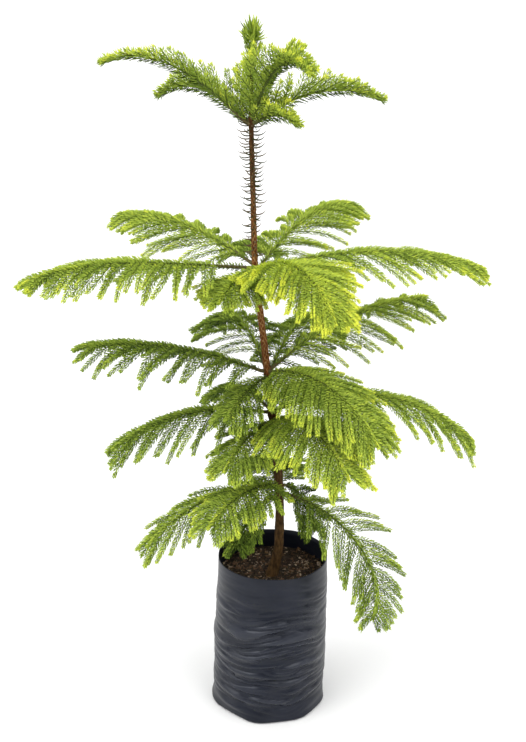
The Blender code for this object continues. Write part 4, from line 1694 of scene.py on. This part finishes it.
    def rings(self, turn: np.ndarray, up: np.ndarray, outer: np.ndarray) -> tuple[np.ndarray, np.ndarray]:
        """Run the film's rings: under the base, up the outside, over the rim and down inside.

        Args:
            turn: Angles of the columns.
            up: Height of each point of the outside, a row to a ring.
            outer: Radius of each one.

        Returns:
            The radii and the heights of all rings.
        """
        wave = sum(depth * np.sin(turn * count + shift) for depth, count, shift in self.RIM_WAVES)
        grown = np.clip((up - self.wave_from) / (self.height - self.wave_from), 0.0, 1.0) ** 2
        lifted = up + grown * wave[None, :]
        flat = np.zeros_like(turn)
        rings = [(outer[0] * share, flat) for share in self.UNDERSIDE]
        rings += list(zip(outer, lifted))
        rings.append((outer[-1] - 0.5 * self.wall, lifted[-1] + self.rim_crown))
        for row in range(len(up) - 1, -1, -self.inside_stride):
            rings.append((outer[row] - self.wall, np.maximum(lifted[row], self.wall)))
        rings.append((outer[0] * self.inside_foot, flat + self.wall))
        radii, levels = zip(*rings)
        return np.stack(radii), np.stack(levels)

    def build(self, finish: FilmFinish) -> Object:
        """Make the bag as one closed film with a rim, an inside and a base.

        Args:
            finish: Finish of the film.

        Returns:
            The piece.
        """
        turn = np.arange(self.columns) * (FULL_TURN / self.columns)
        foot = np.linspace(0.0, self.foot_height, self.foot_rows, endpoint=False)
        heights = np.concatenate((foot, np.linspace(self.foot_height, self.height, self.rows)))
        up, around = np.meshgrid(heights, turn, indexing="ij")
        outer, folded = self.outside(around, up)
        circle = np.stack((np.cos(turn), np.sin(turn)), -1)
        radii, levels = self.rings(turn, up, outer)
        points = np.concatenate((circle[None] * radii[:, :, None], levels[:, :, None]), axis=-1)
        points[:, :, 0] += levels * BAG_LEAN
        ends = np.array(((0.0, 0.0, 0.0), (0.0, 0.0, self.wall)))
        skin = Skin()
        skin.add(np.concatenate((points.reshape(-1, 3), ends)), ring_faces(len(radii), self.columns))
        mesh = skin.mesh("film_bag", True)
        # The fold heights mark the crests that the film's colour lightens as a painted highlight.
        marks = np.zeros(radii.size + len(ends))
        first = len(self.UNDERSIDE) * self.columns
        marks[first : first + folded.size] = folded.ravel()
        mark_points(mesh, "fold_crest_highlight", marks)
        return add_piece(mesh, [finish.material()], ("grow_bag",))


@dataclass
class BarkMix:
    """The bark mix in the bag: an uneven bed with loose chips on it.

    Each layer of the bed's relief has its weight, its rate and the shift of its noise.
    """

    LAYERS = ((1.0, 1.0, 0.0), (0.6, 3.1, 4.0), (0.35, 8.0, 9.0))

    bag: GrowBag
    columns: int = 180
    rows: int = 46
    wall_gap: float = 0.0012
    relief: float = 0.0030
    mound: float = 0.0030
    mound_reach: float = 0.030
    mound_centre: tuple[float, float] = (0.006, -0.014)
    chips: int = 2600
    levels: tuple[float, ...] = (0.0030, 0.0080, 0.0600, 0.1500, SOIL_LEVEL)
    side_gap: float = 0.0080
    edge_share: float = 0.995
    middle_share: float = 0.02
    cells: float = 55.0
    roughness: float = 0.6
    chip_margin: float = 0.002
    chip_length: tuple[float, float, float] = (4.0, 0.00095, 0.0010)
    chip_width: tuple[float, float] = (0.35, 0.75)
    chip_thickness: tuple[float, float] = (0.12, 0.30)
    chip_corners: tuple[float, float] = (0.55, 1.15)
    chip_splits: float = 0.05
    chip_pitch: float = 0.28
    chip_roll: float = 0.25
    chip_lift: float = 0.35

    def reach(self, turn: np.ndarray) -> np.ndarray:
        """Find the radius of the bed's edge at angles in radians."""
        outside, _ = self.bag.outside(turn, np.full_like(turn, SOIL_LEVEL))
        return outside - self.bag.wall - self.wall_gap

    def level(self, x: np.ndarray, y: np.ndarray) -> np.ndarray:
        """Find the height of the bed.

        Args:
            x: Places along X.
            y: Places along Y.

        Returns:
            The height at each place.
        """
        place = np.stack((x * self.cells, y * self.cells, np.zeros_like(x)), -1)
        rough = sum(weight * noise_at(place * rate + shift) for weight, rate, shift in self.LAYERS)
        away = np.hypot(x - self.mound_centre[0], y - self.mound_centre[1])
        mound = self.mound * np.exp(-((away / self.mound_reach) ** 2))
        return SOIL_LEVEL + self.relief * rough * self.roughness + mound

    def bed(self, finish: BarkMixFinish) -> Object:
        """Make the bed as one closed body that fills the bag.

        Args:
            finish: Its finish.

        Returns:
            The piece.
        """
        turn = np.arange(self.columns) * (FULL_TURN / self.columns)
        circle = np.stack((np.cos(turn), np.sin(turn)), -1)
        reach = self.reach(turn)
        rings = []
        for height in self.levels:
            inset = self.wall_gap if height == SOIL_LEVEL else self.side_gap
            radius = reach + self.wall_gap - inset
            level = np.full((self.columns, 1), height)
            rings.append(np.concatenate((circle * radius[:, None], level), axis=-1))
        shift = SOIL_LEVEL * BAG_LEAN
        for share in np.linspace(self.edge_share, self.middle_share, self.rows):
            place = circle * (reach * share)[:, None]
            height = self.level(place[:, 0] + shift, place[:, 1])
            rings.append(np.concatenate((place, height[:, None]), axis=-1))
        points = np.stack(rings)
        points[:, :, 0] += points[:, :, 2] * BAG_LEAN
        top = (shift, 0.0, float(self.level(np.array([shift]), np.array([0.0]))[0]))
        ends = np.array(((0.0, 0.0, self.levels[0]), top))
        skin = Skin()
        skin.add(np.concatenate((points.reshape(-1, 3), ends)), ring_faces(len(rings), self.columns))
        mesh = skin.mesh("bark_mix_bed", True)
        return add_piece(mesh, [finish.material()], ("potting_soil",))

    def loose_chips(self, finishes: list[BarkMixFinish], shares: tuple[float, ...]) -> Object:
        """Scatter split chips of bark over the bed.

        Args:
            finishes: Their finishes.
            shares: How many of the chips have each finish.

        Returns:
            The piece.
        """
        rule = seeded("bark chips")
        count = self.chips
        share = np.sqrt(rule.uniform(0.0, 1.0, count))
        turn = rule.uniform(0.0, FULL_TURN, count)
        reach = (self.reach(turn) - self.chip_margin) * share
        x = reach * np.cos(turn) + SOIL_LEVEL * BAG_LEAN
        y = reach * np.sin(turn)
        shape, spread, shortest = self.chip_length
        length = rule.gamma(shape, spread, count) + shortest
        width = length * rule.uniform(*self.chip_width, count)
        thick = length * rule.uniform(*self.chip_thickness, count)
        centre = np.stack((x, y, self.level(x, y) + thick * self.chip_lift), -1)
        square = ((-1.0, -1.0), (1.0, -1.0), (1.0, 1.0), (-1.0, 1.0))
        corners = np.array([(a, b, c) for c in (-1.0, 1.0) for a, b in square])
        corners = corners[None] * rule.uniform(*self.chip_corners, (count, 8, 1)) * 0.5
        corners = corners + rule.normal(0.0, self.chip_splits, (count, 8, 3))
        local = corners * np.stack((length, width, thick), -1)[:, None]
        yaw = rule.uniform(0.0, FULL_TURN, count)
        pitch = rule.normal(0.0, self.chip_pitch, count)
        ahead = unit(np.stack((np.cos(yaw), np.sin(yaw), pitch), -1))
        aside = unit(np.cross(UP + rule.normal(0.0, self.chip_roll, (count, 3)), ahead))
        over = np.cross(ahead, aside)
        points = centre[:, None] + sum(
            local[:, :, axis, None] * way[:, None] for axis, way in enumerate((ahead, aside, over))
        )
        quads = ((0, 3, 2, 1), (4, 5, 6, 7), (0, 1, 5, 4), (1, 2, 6, 5), (2, 3, 7, 6), (3, 0, 4, 7))
        pattern = np.array([(a, b, c) for a, b, c, _ in quads] + [(a, c, d) for a, _, c, d in quads])
        faces = (np.arange(count) * 8)[:, None, None] + pattern[None]
        kind = rule.choice(len(finishes), count, p=shares)
        skin = Skin()
        skin.add(points.reshape(-1, 3), faces.reshape(-1, 3), np.repeat(kind, len(pattern)))
        materials = [finish.material() for finish in finishes]
        return add_piece(skin.mesh("bark_chips", False), materials)


# Floor, light and camera


@dataclass
class Studio:
    """A plain pale floor under soft light, and the camera at the photo's angle.

    Each lamp is a lobe of the sky: the way it lies, how narrow it is and its strength.
    """

    camera_place: tuple[float, float, float] = (-0.0099, -2.2, 1.5)
    camera_pitch: float = 20.9
    lens: float = 65.45
    sensor: float = 36.0
    floor_radius: float = 60.0
    floor_corners: int = 96
    floor_colour: Colour = (0.92, 0.92, 0.92)
    ambient: float = 0.30
    lamps: tuple[tuple[Colour, float, float], ...] = (
        ((0.0, 0.0, 1.0), 1.5, 1.30),
        ((-0.60, -0.50, 0.62), 22.0, 4.2),
        ((0.45, -0.60, 0.66), 22.0, 3.4),
        ((-0.93, -0.25, 0.26), 26.0, 2.6),
        ((0.93, -0.25, 0.26), 26.0, 2.2),
    )

    def floor(self) -> None:
        """Lay the floor."""
        mesh = bpy.data.meshes.new("floor")
        turns = np.arange(self.floor_corners) * (FULL_TURN / self.floor_corners)
        points = self.floor_radius * np.stack((np.cos(turns), np.sin(turns), turns * 0.0), -1)
        mesh.from_pydata(points.tolist(), [], [list(range(self.floor_corners))])
        bench = NodeBench("pale_floor", 0.9, 0.2)
        bench.give("Base Color", opaque(self.floor_colour))
        mesh.materials.append(bench.material)
        item = bpy.data.objects.new("floor", mesh)
        bpy.context.scene.collection.objects.link(item)

    def light(self) -> None:
        """Light the plant from a white sky: even all round, brighter above and in front."""
        world = bpy.data.worlds.new("soft_white")
        world.use_nodes = True
        bench = Wiring(world.node_tree)
        background = bench.nodes["Background"]
        background.inputs["Color"].default_value = (1.0, 1.0, 1.0, 1.0)
        way = bench.put("TexCoord", {}).outputs["Generated"]
        total = self.ambient
        for aim, narrowness, strength in self.lamps:
            feeds = {0: way, 1: Vector(aim).normalized()}
            lean = bench.put("VectorMath", feeds, operation="DOT_PRODUCT").outputs["Value"]
            lobe = bench.worked("POWER", bench.worked("MAXIMUM", lean, 0.0), narrowness)
            total = bench.worked("MULTIPLY_ADD", lobe, strength, total)
        bench.link(total, background.inputs["Strength"])
        bpy.context.scene.world = world

    def camera(self) -> None:
        """Set up the camera."""
        view = bpy.data.cameras.new("camera")
        view.lens = self.lens
        view.sensor_width = self.sensor
        view.sensor_fit = "AUTO"
        view.clip_end = 4.0 * self.floor_radius
        item = bpy.data.objects.new("camera", view)
        item.location = self.camera_place
        item.rotation_euler = (math.radians(90.0 - self.camera_pitch), 0.0, 0.0)
        bpy.context.scene.collection.objects.link(item)
        bpy.context.scene.camera = item
        bpy.context.scene.view_settings.view_transform = "Standard"

    def build(self) -> None:
        """Set up the whole studio."""
        self.camera()
        self.floor()
        self.light()


def needle_palette() -> list[Material]:
    """Make a needle material for each tone."""
    return [NeedleFinish("needles_" + tone.name.lower(), tone.value).material() for tone in Tone]


def main() -> None:
    """Build the plant, its bag and the studio, in order."""
    logging.basicConfig(level=logging.INFO, format="%(message)s")
    Studio().build()
    bag = GrowBag()
    bag.build(FilmFinish())
    mix = BarkMix(bag)
    damp = BarkMixFinish("damp_mix", (0.004, 0.003, 0.002), (0.035, 0.022, 0.013))
    chips = [
        BarkMixFinish("dark_chips", (0.010, 0.006, 0.004), (0.055, 0.032, 0.018)),
        BarkMixFinish("brown_chips", (0.060, 0.030, 0.015), (0.190, 0.105, 0.055)),
        BarkMixFinish("pale_chips", (0.200, 0.130, 0.085), (0.520, 0.400, 0.300)),
    ]
    mix.bed(damp)
    mix.loose_chips(chips, (0.62, 0.28, 0.10))
    trunk = Trunk()
    trunk.build(TrunkFinish())
    palette = needle_palette()
    leaf_green = (0.075, 0.110, 0.014)
    brown = StemFinish("bough_bark", (0.050, 0.034, 0.014), (0.150, 0.125, 0.045), leaf_green)
    fresh = StemFinish("green_twigs", (0.050, 0.078, 0.010), (0.130, 0.185, 0.024), leaf_green)
    bark, green = brown.material(), fresh.material()
    for bough in BOUGHS:
        BoughGrowth(bough, trunk).build(bark, green, palette)
    Leader(trunk).build(green, palette)
    old_green = NeedleFinish("old_green_needles", (0.050, 0.054, 0.018)).material()
    old_brown = NeedleFinish("old_brown_needles", (0.120, 0.090, 0.045)).material()
    DryNeedles(trunk).build(old_green, old_brown)
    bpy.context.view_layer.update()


if __name__ == "__main__":
    main()
